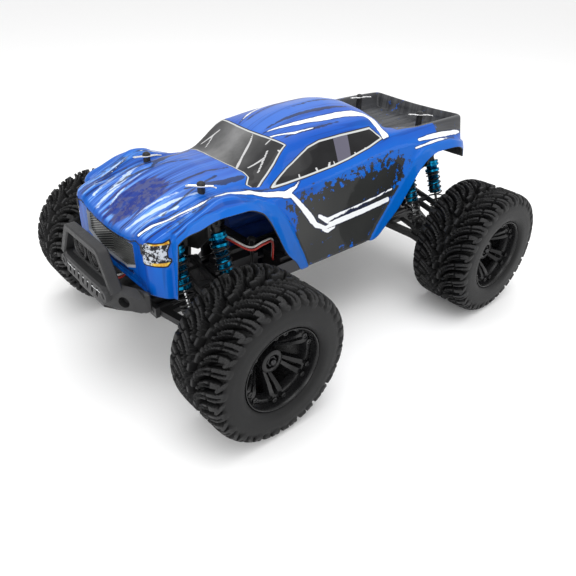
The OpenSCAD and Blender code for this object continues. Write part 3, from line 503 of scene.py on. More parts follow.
def tyre_profile():
    """Base and lug-top curves of the tyre's outer surface, as (y, radius) rows."""
    half, r = TYRE_HALF, TYRE_R
    wall = [[half, r - 15], [half, r - 20], [half - 0.6, r - 24], [half - 2.2, r - 26.5],
            [half - 3.6, r - 27.4], [half - 5, r - 27.2]]
    base = np.array([
        [0, r - 6], [half - 13, r - 6.4], [half - 7.6, r - 6.2], [half - 3.2, r - 6.4],
        [half - 0.7, r - 9.6]] + wall)
    top = np.array([
        [0, r], [half - 13, r - 0.2], [half - 6, r - 0.9], [half - 1.6, r - 3.2],
        [half - 0.1, r - 8.2]] + wall)
    knots = np.arange(len(base))
    dense = np.concatenate([np.linspace(0, 5, 50), np.linspace(5.3, 10, 16)])
    half_rows = []
    for curve in (base, top):
        columns = [through(np.stack([knots, curve[:, k]], 1), dense) for k in (0, 1)]
        half_rows.append(np.stack(columns, 1))
    return half_rows


def lug_height(along, across, pitch):
    """Height from 0 to 1 of the tread at (along the rim, across the tread) in mm."""
    where = np.stack(np.broadcast_arrays(along, across), -1)
    height = np.zeros(where.shape[:2])
    slit = np.zeros(where.shape[:2])
    for strokes, depth in ((LUGS, height), (SLITS, slit)):
        for stroke in strokes:
            path = smooth(stroke, 4)
            for shift in (-2, -1, 0, 1, 2):
                gap = line_distance(where - [shift * pitch, 0], path[:, :2], path[:, 2])
                edge = 1 - smoothstep(gap, -0.25, 0.5)
                np.maximum(depth, edge, out=depth)
    return np.clip(height - 0.45 * slit * height, 0, 1)


def tyre_shape():
    """One tyre about the origin with its axle along Y: lugged outside, plain hollow inside."""
    base, top = tyre_profile()
    pitch = 2 * math.pi * (TYRE_R - 2) / PITCHES
    steps = PITCHES * PITCH_STEPS
    turn = np.arange(steps) * 2 * math.pi / steps
    along = np.arange(PITCH_STEPS) * pitch / PITCH_STEPS
    stride = np.linalg.norm(np.diff(top, axis=0), axis=1)
    across = np.concatenate([[0], np.cumsum(stride)])
    halves, lugs = [], []
    for side, shift in ((1, 0.0), (-1, pitch / 2)):
        height = lug_height((shift - along)[None] % pitch, across[:, None], pitch)
        height = np.tile(height, PITCHES)
        y = side * (base[:, :1] + (top - base)[:, :1] * height)
        radius = base[:, 1:] + (top - base)[:, 1:] * height
        halves.append(np.stack([radius * np.sin(turn), y + 0 * turn, radius * np.cos(turn)], -1))
        plain = smoothstep(across, 32, 37)[:, None]
        lugs.append(height * (1 - plain) + 0.62 * plain)
    outer = np.concatenate([halves[1][:0:-1], halves[0]])
    half, r = TYRE_HALF, TYRE_R
    inner = np.array([
        [half - 9, r - 28.6], [half - 5, r - 24], [half - 4, r - 16], [half - 7, r - 10.5],
        [0, r - 9], [7 - half, r - 10.5], [4 - half, r - 16], [5 - half, r - 24],
        [9 - half, r - 28.6]])
    back = np.stack([
        np.stack([q * np.sin(turn), y + 0 * turn, q * np.cos(turn)], -1) for y, q in inner])
    grid = np.concatenate([outer, back])
    faces = grid_faces(len(grid), steps, True, True)
    lug = np.concatenate([lugs[1][:0:-1], lugs[0], np.zeros(back.shape[:2])])
    return grid.reshape(-1, 3), faces, lug.reshape(-1)


# ---------------------------------------------------------------- wheels

RIM_R = 35.0
SPOKES = 6
FORK_GAP = 0.3
BOLT_RING = RIM_R - 5.4


def rim_shape():
    """Deep rim about the origin, axle along Z: the barrel, then the forked spoke face."""
    lip = TYRE_HALF - 2
    parts = Parts()
    parts.add(turned([
        (RIM_R - 0.1, lip - 1.6), (RIM_R - 0.3, lip - 0.9), (RIM_R - 0.9, lip - 0.8),
        (RIM_R - 1.5, lip - 1.5), (RIM_R - 2.2, lip - 4), (RIM_R - 2.6, lip - 9),
        (RIM_R - 3.4, -lip + 4), (RIM_R - 3.2, -lip), (RIM_R - 0.1, -lip),
        (RIM_R - 0.1, -lip + 2), (RIM_R - 1.2, -lip + 3), (RIM_R - 1.2, lip - 3.6),
        (RIM_R - 0.1, lip - 2.6)], 96, closed=True))
    parts.add(spoke_face(lip))
    parts.add(turned([
        (2.7, -1), (8.6, -1), (9.4, 0), (10.6, 10.2), (9.6, 14.6), (8.6, 15.2), (6.4, 15.2),
        (5.8, 14.6), (5.8, 10.6), (2.7, 10.4)], 48, closed=True))
    for k in range(2 * SPOKES):
        fork = (k // 2 + 0.5) * 2 * math.pi / SPOKES + (k % 2 - 0.5) * FORK_GAP
        at = [BOLT_RING * math.cos(fork), BOLT_RING * math.sin(fork), lip - 6.6]
        parts.add(place(turned([
            (0, 0), (2.1, 0), (2.3, 0.3), (2.3, 1.1), (1.9, 1.5), (1.3, 1.5), (1.1, 1.0),
            (0, 1.0)], 20), at))
    return parts.all_points(), parts.faces


def spoke_face(lip):
    """The dished disc with an oval window between spokes and a slot in each fork."""
    rings = np.concatenate([np.linspace(8.8, 30.6, 30), [31.9]])
    steps = 480
    turn = np.arange(steps) * 2 * math.pi / steps
    r, a = np.meshgrid(rings, turn, indexing="ij")
    share = (a * SPOKES / (2 * math.pi)) % 1.0
    offset = (share - 0.5) * 2 * math.pi / SPOKES * r
    fork = np.abs(offset)
    slot = fork - (0.1 + 1.0 * smoothstep(r, 15, 26)) * (1 - smoothstep(r, 26.5, 28.2))
    from_slot = np.where((r > 14.5) & (r < 28.2), slot, 9)
    to_window = 3.9 + 2.9 * smoothstep(r, 12, 28) - fork
    solid_ring = np.maximum(smoothstep(r, 27.4, 28.8), 1 - smoothstep(r, 10.2, 11.6))
    ribbed = np.minimum(np.clip(from_slot / 0.6, 0, 1), np.clip(to_window / 0.8, 0, 1))
    rise = np.maximum(np.clip(ribbed, 0, 1), solid_ring)
    dish = 4.5 + (lip - 8.5 - 4.5) * smoothstep(r, 9, 31) ** 0.8
    z = dish + 5.4 * (rise - 1)
    front = np.stack([r * np.cos(a), r * np.sin(a), z], -1)
    open_slot = (from_slot < 0.15) & (r > 15) & (r < 27.5)
    hole = ((to_window < 0.15) | open_slot) & (solid_ring < 0.1)
    back = front.copy()
    back[..., 2] = dish - 6.2
    n, m = r.shape
    index = np.arange(n * m).reshape(n, m)
    keep = ~(hole[:-1] & hole[1:] & np.roll(hole, -1, 1)[:-1] & np.roll(hole, -1, 1)[1:])
    faces, count = [], n * m
    for i in range(n - 1):
        for j in range(m):
            if not keep[i, j]:
                continue
            k = (j + 1) % m
            quad = (index[i, j], index[i + 1, j], index[i + 1, k], index[i, k])
            faces += [quad, tuple(q + count for q in quad[::-1])]
            for di, dj, p, q in ((-1, 0, 0, 3), (0, 1, 3, 2), (1, 0, 2, 1), (0, -1, 1, 0)):
                ni, nj = i + di, (j + dj) % m
                if 0 <= ni < n - 1 and keep[ni, nj]:
                    continue
                faces.append((quad[p], quad[q], quad[q] + count, quad[p] + count))
    return np.concatenate([front.reshape(-1, 3), back.reshape(-1, 3)]), faces


def hexagon(radius):
    """Corners of a hexagon."""
    return [(radius * math.cos(k * math.pi / 3), radius * math.sin(k * math.pi / 3))
            for k in range(6)]


def axle_shapes():
    """Stub axle, hex adapter and flanged lock nut, axle along Z, wheel middle at the origin."""
    steel, blue = Parts(), Parts()
    steel.add(turned([
        (0, -32), (4.3, -32), (4.4, -38), (5.4, -42.4), (5.8, -42.6), (6, -42.2), (6, -28),
        (5.6, -27.4), (2.5, -26), (2.5, 14.2), (0, 14.2)], 40))
    nut = Parts()
    nut.add(prism(hexagon(4.6), 10.6, 14.4, 0.4))
    nut.add(turned([(0, 14), (3, 14), (3, 15.6), (2.5, 16.6), (1.6, 17.2), (0, 17.2)], 32))
    nut.add(turned([(2.6, 10.4), (5.6, 10.4), (5.6, 11.2), (4.6, 11.8), (2.6, 11.8)], 32, True))
    blue.add(prism(hexagon(6.9), -6.9, -1.1, 0.5))
    return steel, blue, nut


# ---------------------------------------------------------------- body shell

EDGE_Z = [
    [-190, 132], [-176, 137], [-172, 145], [-150, 152], [-126, 153], [-111, 149], [-103, 141],
    [-94, 126], [-79, 102], [-66, 89], [-56, 81], [-50, 79], [44, 79], [51, 88], [64, 102],
    [79, 127], [88, 141], [97, 150], [110, 155], [130, 155.5], [149, 151], [165, 144.5],
    [167, 98], [184, 101],
]
EDGE_Y = [
    [-190, 60], [-176, 72], [-150, 77], [-111, 77], [-94, 74], [-66, 70], [44, 70], [64, 73],
    [88, 77], [97, 79], [149, 78], [165, 75], [167, 71], [175, 67], [184, 57],
]
CREASE_Z = [
    [-190, 152], [-178, 155], [-150, 162], [-133, 164], [-101, 165.5], [-60, 163], [0, 157],
    [60, 152], [80, 152], [103, 160.5], [114, 165.5], [123, 166.5], [144, 158.5], [160, 151.5],
    [177, 145.5], [184, 143],
]
CREASE_Y = [
    [-190, 57], [-178, 66], [-160, 69], [-101, 70], [-60, 68], [60, 67], [144, 67], [160, 66],
    [172, 65], [178, 63], [184, 56],
]
SHOULDER_Z = [
    [-190, 172], [-180, 174.5], [-130, 175.5], [-65, 175.5], [-40, 170], [0, 165], [60, 159],
    [78, 158], [90, 161], [110, 163.5], [128, 162.5], [143, 159], [156, 155.4], [173, 150],
    [184, 145],
]
SHOULDER_Y = [
    [-190, 54], [-180, 60], [-130, 61], [-75, 60], [-60, 58], [-40, 61], [0, 60], [60, 57],
    [78, 53], [90, 50], [110, 47.5], [184, 47],
]
RAIL_Z = [
    [-190, 173], [-182, 175.5], [-90, 175.5], [-72, 178.5], [-50, 182], [0, 184], [42, 183.5],
    [78, 163], [90, 162], [110, 164], [128, 163], [156, 156], [173, 150.5], [184, 145],
]
RAIL_Y = [
    [-190, 51], [-182, 55], [-112, 55], [-95, 45], [-84, 43], [-72, 46], [-50, 46], [42, 46],
    [78, 48], [90, 45], [110, 43.5], [184, 43],
]
INNER_Z = [
    [-190, 173], [-184, 175], [-181, 160], [-96, 160], [-84, 174], [-72, 184], [-50, 189],
    [0, 189], [40, 185.5], [78, 165.5], [90, 164.5], [110, 164.5], [128, 162.5], [156, 154.5],
    [173, 147.5], [184, 141],
]
INNER_Y = [
    [-190, 48], [-184, 52], [-112, 51], [-95, 40], [-84, 38], [-72, 40], [-50, 41], [40, 40],
    [78, 38], [184, 36],
]
CENTRE_Z = [
    [-190, 172], [-184, 173.5], [-181, 160], [-96, 160], [-84, 178], [-72, 191], [-50, 198.5],
    [-30, 201], [0, 200], [20, 196.5], [40, 189.5], [78, 168], [90, 167.5], [110, 164.5],
    [128, 161], [140, 157.5], [156, 151], [170, 144], [184, 137],
]
ROW_COUNTS = (18, 18, 13, 8, 6, 14, 14)
CREASE_ROW = ROW_COUNTS[0] + ROW_COUNTS[1]
SHOULDER_ROW = CREASE_ROW + ROW_COUNTS[2]
RAIL_ROW = SHOULDER_ROW + ROW_COUNTS[3]
INNER_ROW = RAIL_ROW + ROW_COUNTS[4]
# Rounding of the end edges and thickness of the skin, in mm
CORNER_R = 3.5
SKIN = 1.2
TAIL_X, NOSE_X = EDGE_Z[0][0], EDGE_Z[-1][0]
NOSE_HALF = EDGE_Y[-1][1]
FAR = 40.0  # distance given to points that a mark does not concern


def body_rows(xs):
    """Cross-sections of the body at xs, each from the left sill over the roof to the right."""
    def at(y_list, z_list):
        return np.stack([through(y_list, xs), through(z_list, xs)], 1)

    low, crease = at(EDGE_Y, EDGE_Z), at(CREASE_Y, CREASE_Z)
    shoulder, rail, inner = at(SHOULDER_Y, SHOULDER_Z), at(RAIL_Y, RAIL_Z), at(INNER_Y, INNER_Z)
    middle = through(CENTRE_Z, xs)
    quarter = np.stack([inner[:, 0] / 2, inner[:, 1] + (middle - inner[:, 1]) * 0.72], 1)
    knots = [low, (low + crease) / 2 + [1.2, 0], crease, shoulder, rail, inner, quarter,
             np.stack([middle * 0, middle], 1)]
    rows = [a + (b - a) * k / n for a, b, n in zip(knots, knots[1:], ROW_COUNTS)
            for k in range(n)] + [knots[-1]]
    half = np.stack(rows, 1)
    full = np.concatenate([half, half[:, -2::-1] * [-1, 1]], 1)
    for _ in range(4):
        full[:, 1:-1] = (full[:, :-2] + 2 * full[:, 1:-1] + full[:, 2:]) / 4
    return full


def body_grid():
    """The body's outer surface as a grid of points, with its two end edges rounded."""
    step = CORNER_R * (1 - np.cos(np.linspace(0, math.pi / 2, 7)))
    xs = np.concatenate([
        TAIL_X + step, np.arange(TAIL_X + 4.5, -177, 1.0), np.arange(-177, 160, 1.6),
        np.arange(160, NOSE_X - CORNER_R - 0.4, 1.0), (NOSE_X - step)[::-1]])
    rows = body_rows(xs)
    slide = np.gradient(rows, axis=1)
    slide /= np.linalg.norm(slide, axis=2)[..., None]
    inward = np.stack([-slide[..., 1], slide[..., 0]], -1)
    past = np.maximum(xs - (NOSE_X - CORNER_R), (TAIL_X + CORNER_R) - xs).clip(0, CORNER_R)
    depth = CORNER_R - np.sqrt(CORNER_R**2 - past**2)
    rows = rows + inward * depth[:, None, None]
    return np.concatenate([np.broadcast_to(xs[:, None, None], rows.shape[:2] + (1,)), rows], 2)


def end_patch(rim):
    """Points that fill an end of the body inside its last section."""
    left, top = rim[:CREASE_ROW + 1], rim[CREASE_ROW:len(rim) - CREASE_ROW]
    right = rim[::-1][:CREASE_ROW + 1]
    v = np.linspace(0, 1, len(left))[:, None, None]
    u = np.linspace(0, 1, len(top))[None, :, None]
    bottom = left[0] + (right[0] - left[0]) * u[0]
    return (
        (1 - v) * bottom[None] + v * top[None] + (1 - u) * left[:, None] + u * right[:, None]
        - (1 - u) * (1 - v) * left[0] - u * (1 - v) * right[0] - (1 - u) * v * left[-1]
        - u * v * right[-1])


def both_sides(outline):
    """An outline given for one side of the centre line, continued on the other."""
    return outline + [(a, -b) for a, b in outline[::-1] if b]


WINDSCREEN = both_sides([
    (47, 0), (46, 18), (42.5, 44.3), (58, 48.5), (72, 51), (81.5, 54.3), (86.5, 48), (80, 42),
    (79, 34), (81, 15), (82, 0)])
SIDE_WINDOW = [
    (69, 157), (54, 157.8), (33.5, 159.4), (2, 162.4), (-15, 164.7), (-42, 169.6), (-61, 173.6),
    (-57, 181.6), (-18, 182.2), (8, 181.8), (22, 179.4), (34, 174.8), (48.6, 168.6)]
REAR_WINDOW = both_sides([(184.5, 30), (191, 12), (191, 0)][::-1] + [(165, 31)])
GRILLE = both_sides([(132.5, 0), (134.6, 38), (117, 39), (110, 22), (108, 0)])
LOWER_GRILLE = both_sides([(105.6, 0), (107.2, 24), (112, 35), (106, 30), (103, 0)])
HEADLIGHT = [
    (187, 144.2), (173, 144.4), (167.8, 146), (167.5, 143.2), (169.6, 139), (170.6, 137),
    (170.6, 132), (168.4, 131.4), (168.6, 128.6), (172, 125.2), (187, 126)]
FRONT_FLARE = [
    (167, 146), (153.6, 153.4), (140, 158.4), (126, 161), (108, 159.6), (90.5, 155), (73.5, 148),
    (64, 136), (55.6, 122), (41, 93), (33, 74), (60, 60), (170, 60)]
REAR_FLARE = [
    (-42, 74), (-54, 94), (-68, 112), (-84, 136), (-95, 151), (-106, 158.6), (-126, 161.6),
    (-150, 159.6), (-180, 151), (-196, 148), (-196, 60), (-60, 60)]
BLACK_DOOR = [
    (60, 147), (40, 151), (20, 152.5), (-10, 155.5), (-40, 159.5), (-62, 161), (-84, 159),
    (-92, 152), (-60, 70), (60, 70)]
ROOF_SWOOSH = [
    (44, 17), (24, 23.5), (5, 26.5), (-26, 27.4), (-50, 27.8), (-64, 32), (-73, 44), (-69, 60),
    (-61, 60), (-66, 46), (-58, 37.5), (-36, 34), (-7, 32.6), (15, 29), (30, 24)]

# Stripes drawn on plan, as (x, y, width); each list is one stroke.
DARK_ON_TOP = [
    [(170, -32, 1.4), (148, -32, 2.4), (121, -26, 2.6), (97, -13, 1.4)],
    [(141, 8, 1.2), (126, 14.7, 2.4), (101, 16.4, 2.6), (84, 20.3, 1.6)],
    [(160, 43, 1.6), (140, 38.5, 2.6), (118, 31, 2.6), (100, 27, 1.6)],
    [(156, -45, 1.4), (132, -38, 2.6), (112, -34, 1.6)],
    # These two wide dark strokes run along the edges of the raised hood centre: painted shade in
    # the creases there.
    [(130, 27, 1.5), (118, 33, 5), (104, 38, 7), (84, 39.5, 5)],
    [(130, -27, 1.5), (118, -33, 5), (104, -38, 7), (84, -39.5, 5)],
    [(40, 14, 1), (18, 16.5, 4), (-20, 18.5, 5), (-50, 21, 2)],
    [(38, -14, 1), (18, -16.5, 3), (-20, -18, 4.4), (-56, -21, 2)],
    [(34, -32, 1), (12, -36, 3), (-30, -37, 3.6), (-62, -39, 2)],
    [(36, 36, 1.4), (10, 38.5, 2.6), (-24, 38, 1.6)],
    [(8, 4, 0.8), (-20, 2, 2.4), (-60, 4, 1.6)],
]
WHITE_ON_TOP = [[(47, 25, 1.6), (26, 36, 2.2), (6, 38, 1)]]
DARK_ON_FENDER = [
    [(180, 51, 0.8), (162, 53.5, 1.4), (142, 56, 1.6), (122, 57.4, 1.2), (106, 56.6, 0.8)],
    [(177, 56, 0.8), (160, 59, 1.2), (140, 61.2, 1.5), (118, 62, 0.9)],
    [(168, 61.4, 0.7), (152, 63, 1.1), (132, 64.6, 1.0)],
    [(104, 51, 0.9), (92, 53, 1.6), (76, 56.5, 2.2), (64, 59, 1.0)],
    [(170, 45, 0.8), (156, 47, 1.6), (140, 49, 1.2)],
]
# Pale strokes at the front of the hood, partly print and partly painted highlight.
PALE_ON_TOP = [
    [(180, 25, 2), (166, 28.6, 5), (152, 33, 6), (138, 37.6, 3), (126, 40.6, 1)],
    [(176, 38, 1.4), (160, 41, 3), (146, 43.6, 1.6)],
    [(172, 17, 1.2), (154, 22, 2.6), (136, 27, 1)],
    [(168, 52, 0.8), (150, 57, 1.6), (130, 59.6, 1.0)],
]
BLOTCH = [
    (179, -15), (180, 3), (172, 14), (158, 19), (141, 17), (133, 7), (135, -9), (146, -19),
    (164, -22)]
# Strokes on the flank, as (x, z, width).
WHITE_ON_SIDE = [
    [(62, 151.5, 3), (54.5, 150, 3.4), (45, 139.5, 4.6), (34, 126, 5.6), (27, 116, 4.4)],
    [(44, 136, 1.6), (33, 121, 2.4), (24, 114.5, 3)],
    [(27, 116.5, 5), (16, 110.5, 3), (4, 112.4, 5.4), (-30, 113.6, 5.6), (-66, 116, 5)],
    [(24, 124, 3), (14, 117, 5), (6, 118.8, 2.6), (-30, 121, 2), (-70, 126, 1.8)],
    [(20, 110, 2), (12, 106.4, 3.4), (4, 108, 2)],
]
# Strokes that cross creases, as (x, y, z, width) on the left side.
WHITE_IN_SPACE = [
    [(182, 46.8, 146, 2), (170, 48.6, 151, 2.2), (154, 52, 155.4, 2.4), (135, 59, 161.6, 2.8),
     (120, 61.4, 165, 3), (104, 58, 162.4, 4), (88, 57, 159, 5), (75, 62, 154.5, 5.4),
     (60, 66, 152.5, 5), (48, 64.5, 155.5, 2.6), (42, 62, 158, 1.2)],
    [(-104, 69, 167, 2.2), (-120, 69, 166.8, 4.4), (-136, 68.4, 165.8, 5),
     (-165, 66.8, 162.6, 4.4), (-186, 60, 158, 2.4)],
    [(-98, 71, 160.6, 1.6), (-120, 71.6, 161.9, 2.4), (-135, 71, 161.6, 2.6), (-160, 69, 158, 2)],
]
CAGE_ON_TOP = [
    [(47.6, 7, 1.2), (54, 11.6, 2), (60, 14, 2.6), (67, 17, 2), (74, 21.4, 2.6), (81, 27, 1.6)],
    [(54.5, 35, 1.8), (70.7, 43.3, 1.8)], [(72.4, 32, 1.4), (62, 36.7, 1.8)],
    [(46, 28.3, 1.4), (51, 28, 1.4)], [(49, 49, 1.4), (50.4, 43.6, 1.4)],
    [(54, -33, 1.6), (70, -40, 1.6)], [(72, -30, 1.4), (60, -35, 1.6)],
]
CAGE_ON_SIDE = [
    [(21.9, 178, 2), (20, 160.4, 2)], [(-7, 181, 1.4), (7.9, 161.6, 2)],
    [(-26.6, 179, 1.4), (-24.3, 165, 1.6)], [(-35.3, 177, 1.4), (-38, 169, 1.6)],
    [(10.4, 182.6, 1.5), (9.6, 178, 1.5)], [(54, 163.5, 1.5), (49.6, 167, 1.5)],
    [(39.8, 158, 1.6), (38.6, 162.4, 1.6)], [(1, 161.4, 1.5), (0, 165.4, 1.5)],
]
SEAT = [(-9, 183), (-27, 183), (-17, 162), (-3, 162)]


def stroke_gap(where, strokes):
    """Least distance in mm to any of the strokes' edges."""
    gap = np.full(where.shape[:-1], FAR)
    for stroke in strokes:
        path = np.array(stroke, float)
        gap = np.minimum(gap, line_distance(where, path[:, :-1], path[:, -1]))
    return gap


def only(where, distance):
    """A distance where it applies, and far off elsewhere."""
    return np.where(where, distance, FAR)


def nearer(where, first, second):
    """The lesser of two distances where that applies, and the first elsewhere."""
    return np.where(where, np.minimum(first, second), first)


def livery(points, row, normal, front):
    """Signed distances in mm from each point of the body to what is printed or moulded on it."""
    x, y, z = points[..., 0], points[..., 1], points[..., 2]
    wide = np.abs(y)
    side_plane, plan, left_plan = (np.stack([x, v], -1) for v in (z, y, wide))
    flank = (row <= RAIL_ROW) & ~front
    top = (row > SHOULDER_ROW) & ~front
    cab = (x > -74) & (x < 79)
    hood = ~front & (row > CREASE_ROW - 1) & (x > 62)
    nose = front & (x > 0)
    marks = {}

    glass = only(top & (x > 30), polygon_distance(x, y, WINDSCREEN))
    glass = nearer(cab & (row > CREASE_ROW) & (wide > 43), glass,
                   polygon_distance(x, z, SIDE_WINDOW))
    behind_cab = (x < -72) & (x > -98) & (row >= INNER_ROW)
    marks["glass"] = np.where(behind_cab, polygon_distance(z, y, REAR_WINDOW), glass)
    cage = only(top & (x > 30), stroke_gap(plan, CAGE_ON_TOP))
    marks["cage"] = nearer(cab & ~top, cage, stroke_gap(side_plane, CAGE_ON_SIDE))
    marks["seat"] = only(cab & (row <= RAIL_ROW + 2), polygon_distance(x, z, SEAT))

    marks["grille"] = only(nose, polygon_distance(z, y, GRILLE))
    marks["slit"] = only(nose, polygon_distance(z, y, LOWER_GRILLE))
    wrap = np.where(front, NOSE_X + NOSE_HALF - wide, x)
    beside = (x > 140) & (wide > 44) & (row <= CREASE_ROW + 2)
    marks["lamp"] = only(beside, polygon_distance(wrap, z, HEADLIGHT))

    marks["flare"] = only(flank, np.minimum(
        polygon_distance(x, z, FRONT_FLARE), polygon_distance(x, z, REAR_FLARE)))
    marks["black"] = only(flank, polygon_distance(x, z, BLACK_DOOR))

    swoosh = polygon_distance(x, wide, ROOF_SWOOSH)
    white = nearer(cab & (row >= SHOULDER_ROW - 4) & (z > 168), only(top, swoosh), swoosh)
    white = nearer(top, white, stroke_gap(plan, WHITE_ON_TOP))
    white = nearer(flank, white, stroke_gap(side_plane, WHITE_ON_SIDE))
    thinner = np.where((y < 0) & (x > 84), 1.0, 0)
    in_space = stroke_gap(np.stack([x, wide, z], -1), WHITE_IN_SPACE)
    marks["white"] = np.minimum(white, in_space + thinner)

    dark = only(top & (x > -80), stroke_gap(plan, DARK_ON_TOP))
    marks["dark"] = nearer(hood, dark, stroke_gap(left_plan, DARK_ON_FENDER))
    marks["pale"] = only(hood, stroke_gap(left_plan, PALE_ON_TOP))
    marks["blotch"] = only(hood, polygon_distance(x, y, BLOTCH))

    bed = only(row >= SHOULDER_ROW + 3, x + 88)
    bed = np.minimum(bed, only(row > CREASE_ROW + 3, x + 134))
    marks["bed"] = np.minimum(bed, only(front & (x < 0) & (z > 160), -2.0))
    # crown is 1 where the body faces up; the paint makes those places lighter and more violet, a
    # painted sheen.
    marks["crown"] = smoothstep(normal[..., 2], 0.55, 0.9) * np.where(front, 0, 1)
    marks["violet_sheen"] = marks["crown"] * (1 - smoothstep(wide, 36, 47))
    return marks


# What stands out of the skin or is sunk in it: a mark, its height in mm, and the distances
# from the mark's edge over which the step runs
RELIEF = [
    ("flare", 2.2, -1.4, 1.6), ("glass", -0.5, -0.7, 0.5), ("grille", -2.4, -1.0, 0.8),
    ("slit", -1.6, -0.8, 0.6), ("lamp", -0.5, -0.7, 0.5)]


def body_relief(points, row, marks, front):
    """How far the moulded shapes stand out from the smooth body, in mm."""
    x, y, z = points[..., 0], points[..., 1], points[..., 2]
    rise = np.zeros(x.shape)
    for mark, height, low, high in RELIEF:
        rise = rise + height * (1 - smoothstep(marks[mark], low, high))
    lip = 1.6 * (1 - smoothstep(z, 108.6, 110.4))
    rise = rise - np.where(front & (x > 0), lip, 0)

    bed_floor = (row >= INNER_ROW) & ~front & (x < -100) & (x > -178) & (z < 162)
    ribs = np.abs(((y / 8.0) % 1.0) - 0.5) * 2
    ends = smoothstep(x, -178, -174) * (1 - smoothstep(x, -104, -100))
    rise = rise + np.where(bed_floor, 1.3 * smoothstep(ribs, 0.35, 0.62) * ends, 0)

    valley = np.exp(-((np.abs(y) - 46.5) / 5.5) ** 2) * smoothstep(x, 88, 108)
    valley = valley * (1 - smoothstep(x, 158, 172))
    rise = rise - np.where(~front & (row > CREASE_ROW), 2.4 * valley, 0)

    hood = ~front & (row >= INNER_ROW) & (x > 82)
    bulge = 1.1 * (1 - smoothstep(np.abs(y), 24, 27)) * smoothstep(x, 92, 104)
    rise = rise + np.where(hood, bulge * (1 - smoothstep(x, 158, 174)), 0)
    inset = smoothstep(x, TAIL_X, TAIL_X + 7) * smoothstep(-x, -NOSE_X, 7 - NOSE_X)
    return rise * np.where(front, 1, inset)


def window_tint(s, x):
    """Smoked glass with cloudy light in it, a silver band across it that is partly print and
    partly painted reflection, and a seat and a roll cage drawn behind it.
    """
    cloud = s.ramp(s.noise(34, 4, 0.6), 0.35, 0.65, 0.7, 1.25)
    y = s.axis("Y")
    # Painted reflection: a light silver band across the glass, dark towards its edges, partly
    # print.
    tint = s.mix(s.ramp(y, 32, -4), (0.022, 0.022, 0.023), (0.16, 0.16, 0.16))
    tint = s.mix(s.ramp(y, -14, -40), tint, (0.035, 0.035, 0.037))
    tint = s.mix(s.ramp(x, 28, 36), (0.008, 0.008, 0.009), tint)
    tint = s.mix(1.0, tint, cloud, "MULTIPLY")
    tint = s.cover("seat", tint, (0.10, 0.095, 0.13))
    return s.cover("cage", tint, (0.5, 0.5, 0.5))


def grille_mesh(s):
    """Slanting bars of a printed grille, dark between them."""
    slant = s.plus(s.axis("Z"), s.times(s.math("ABSOLUTE", s.axis("Y")), 0.42))
    hatch = s.math("PINGPONG", slant, 1.05)
    fine = s.math("PINGPONG", s.plus(s.axis("Y"), s.times(slant, 0.2)), 1.6)
    mesh = s.times(s.ramp(hatch, 0.62, 0.8), s.ramp(fine, 0.1, 0.4, 0.35, 1.0))
    return s.mix(mesh, (0.012, 0.013, 0.013), (0.26, 0.27, 0.26))


def lamp_lens(s, x, chips):
    """Printed headlight: dark and silver facets, with amber at its two ends."""
    facets = s.ramp(s.noise(330, 5, 0.7), 0.48, 0.54)
    lens = s.mix(facets, (0.012, 0.012, 0.015), (0.50, 0.53, 0.58))
    ends = s.math("ABSOLUTE", s.math("SUBTRACT", s.axis("Z"), 135.4))
    where = s.times(s.ramp(ends, 6.6, 7.1), s.ramp(x, 182, 180))
    amber = s.mix(s.ramp(chips, 0.4, 0.6), (0.50, 0.20, 0.01), (0.80, 0.60, 0.10))
    return s.mix(where, lens, amber)


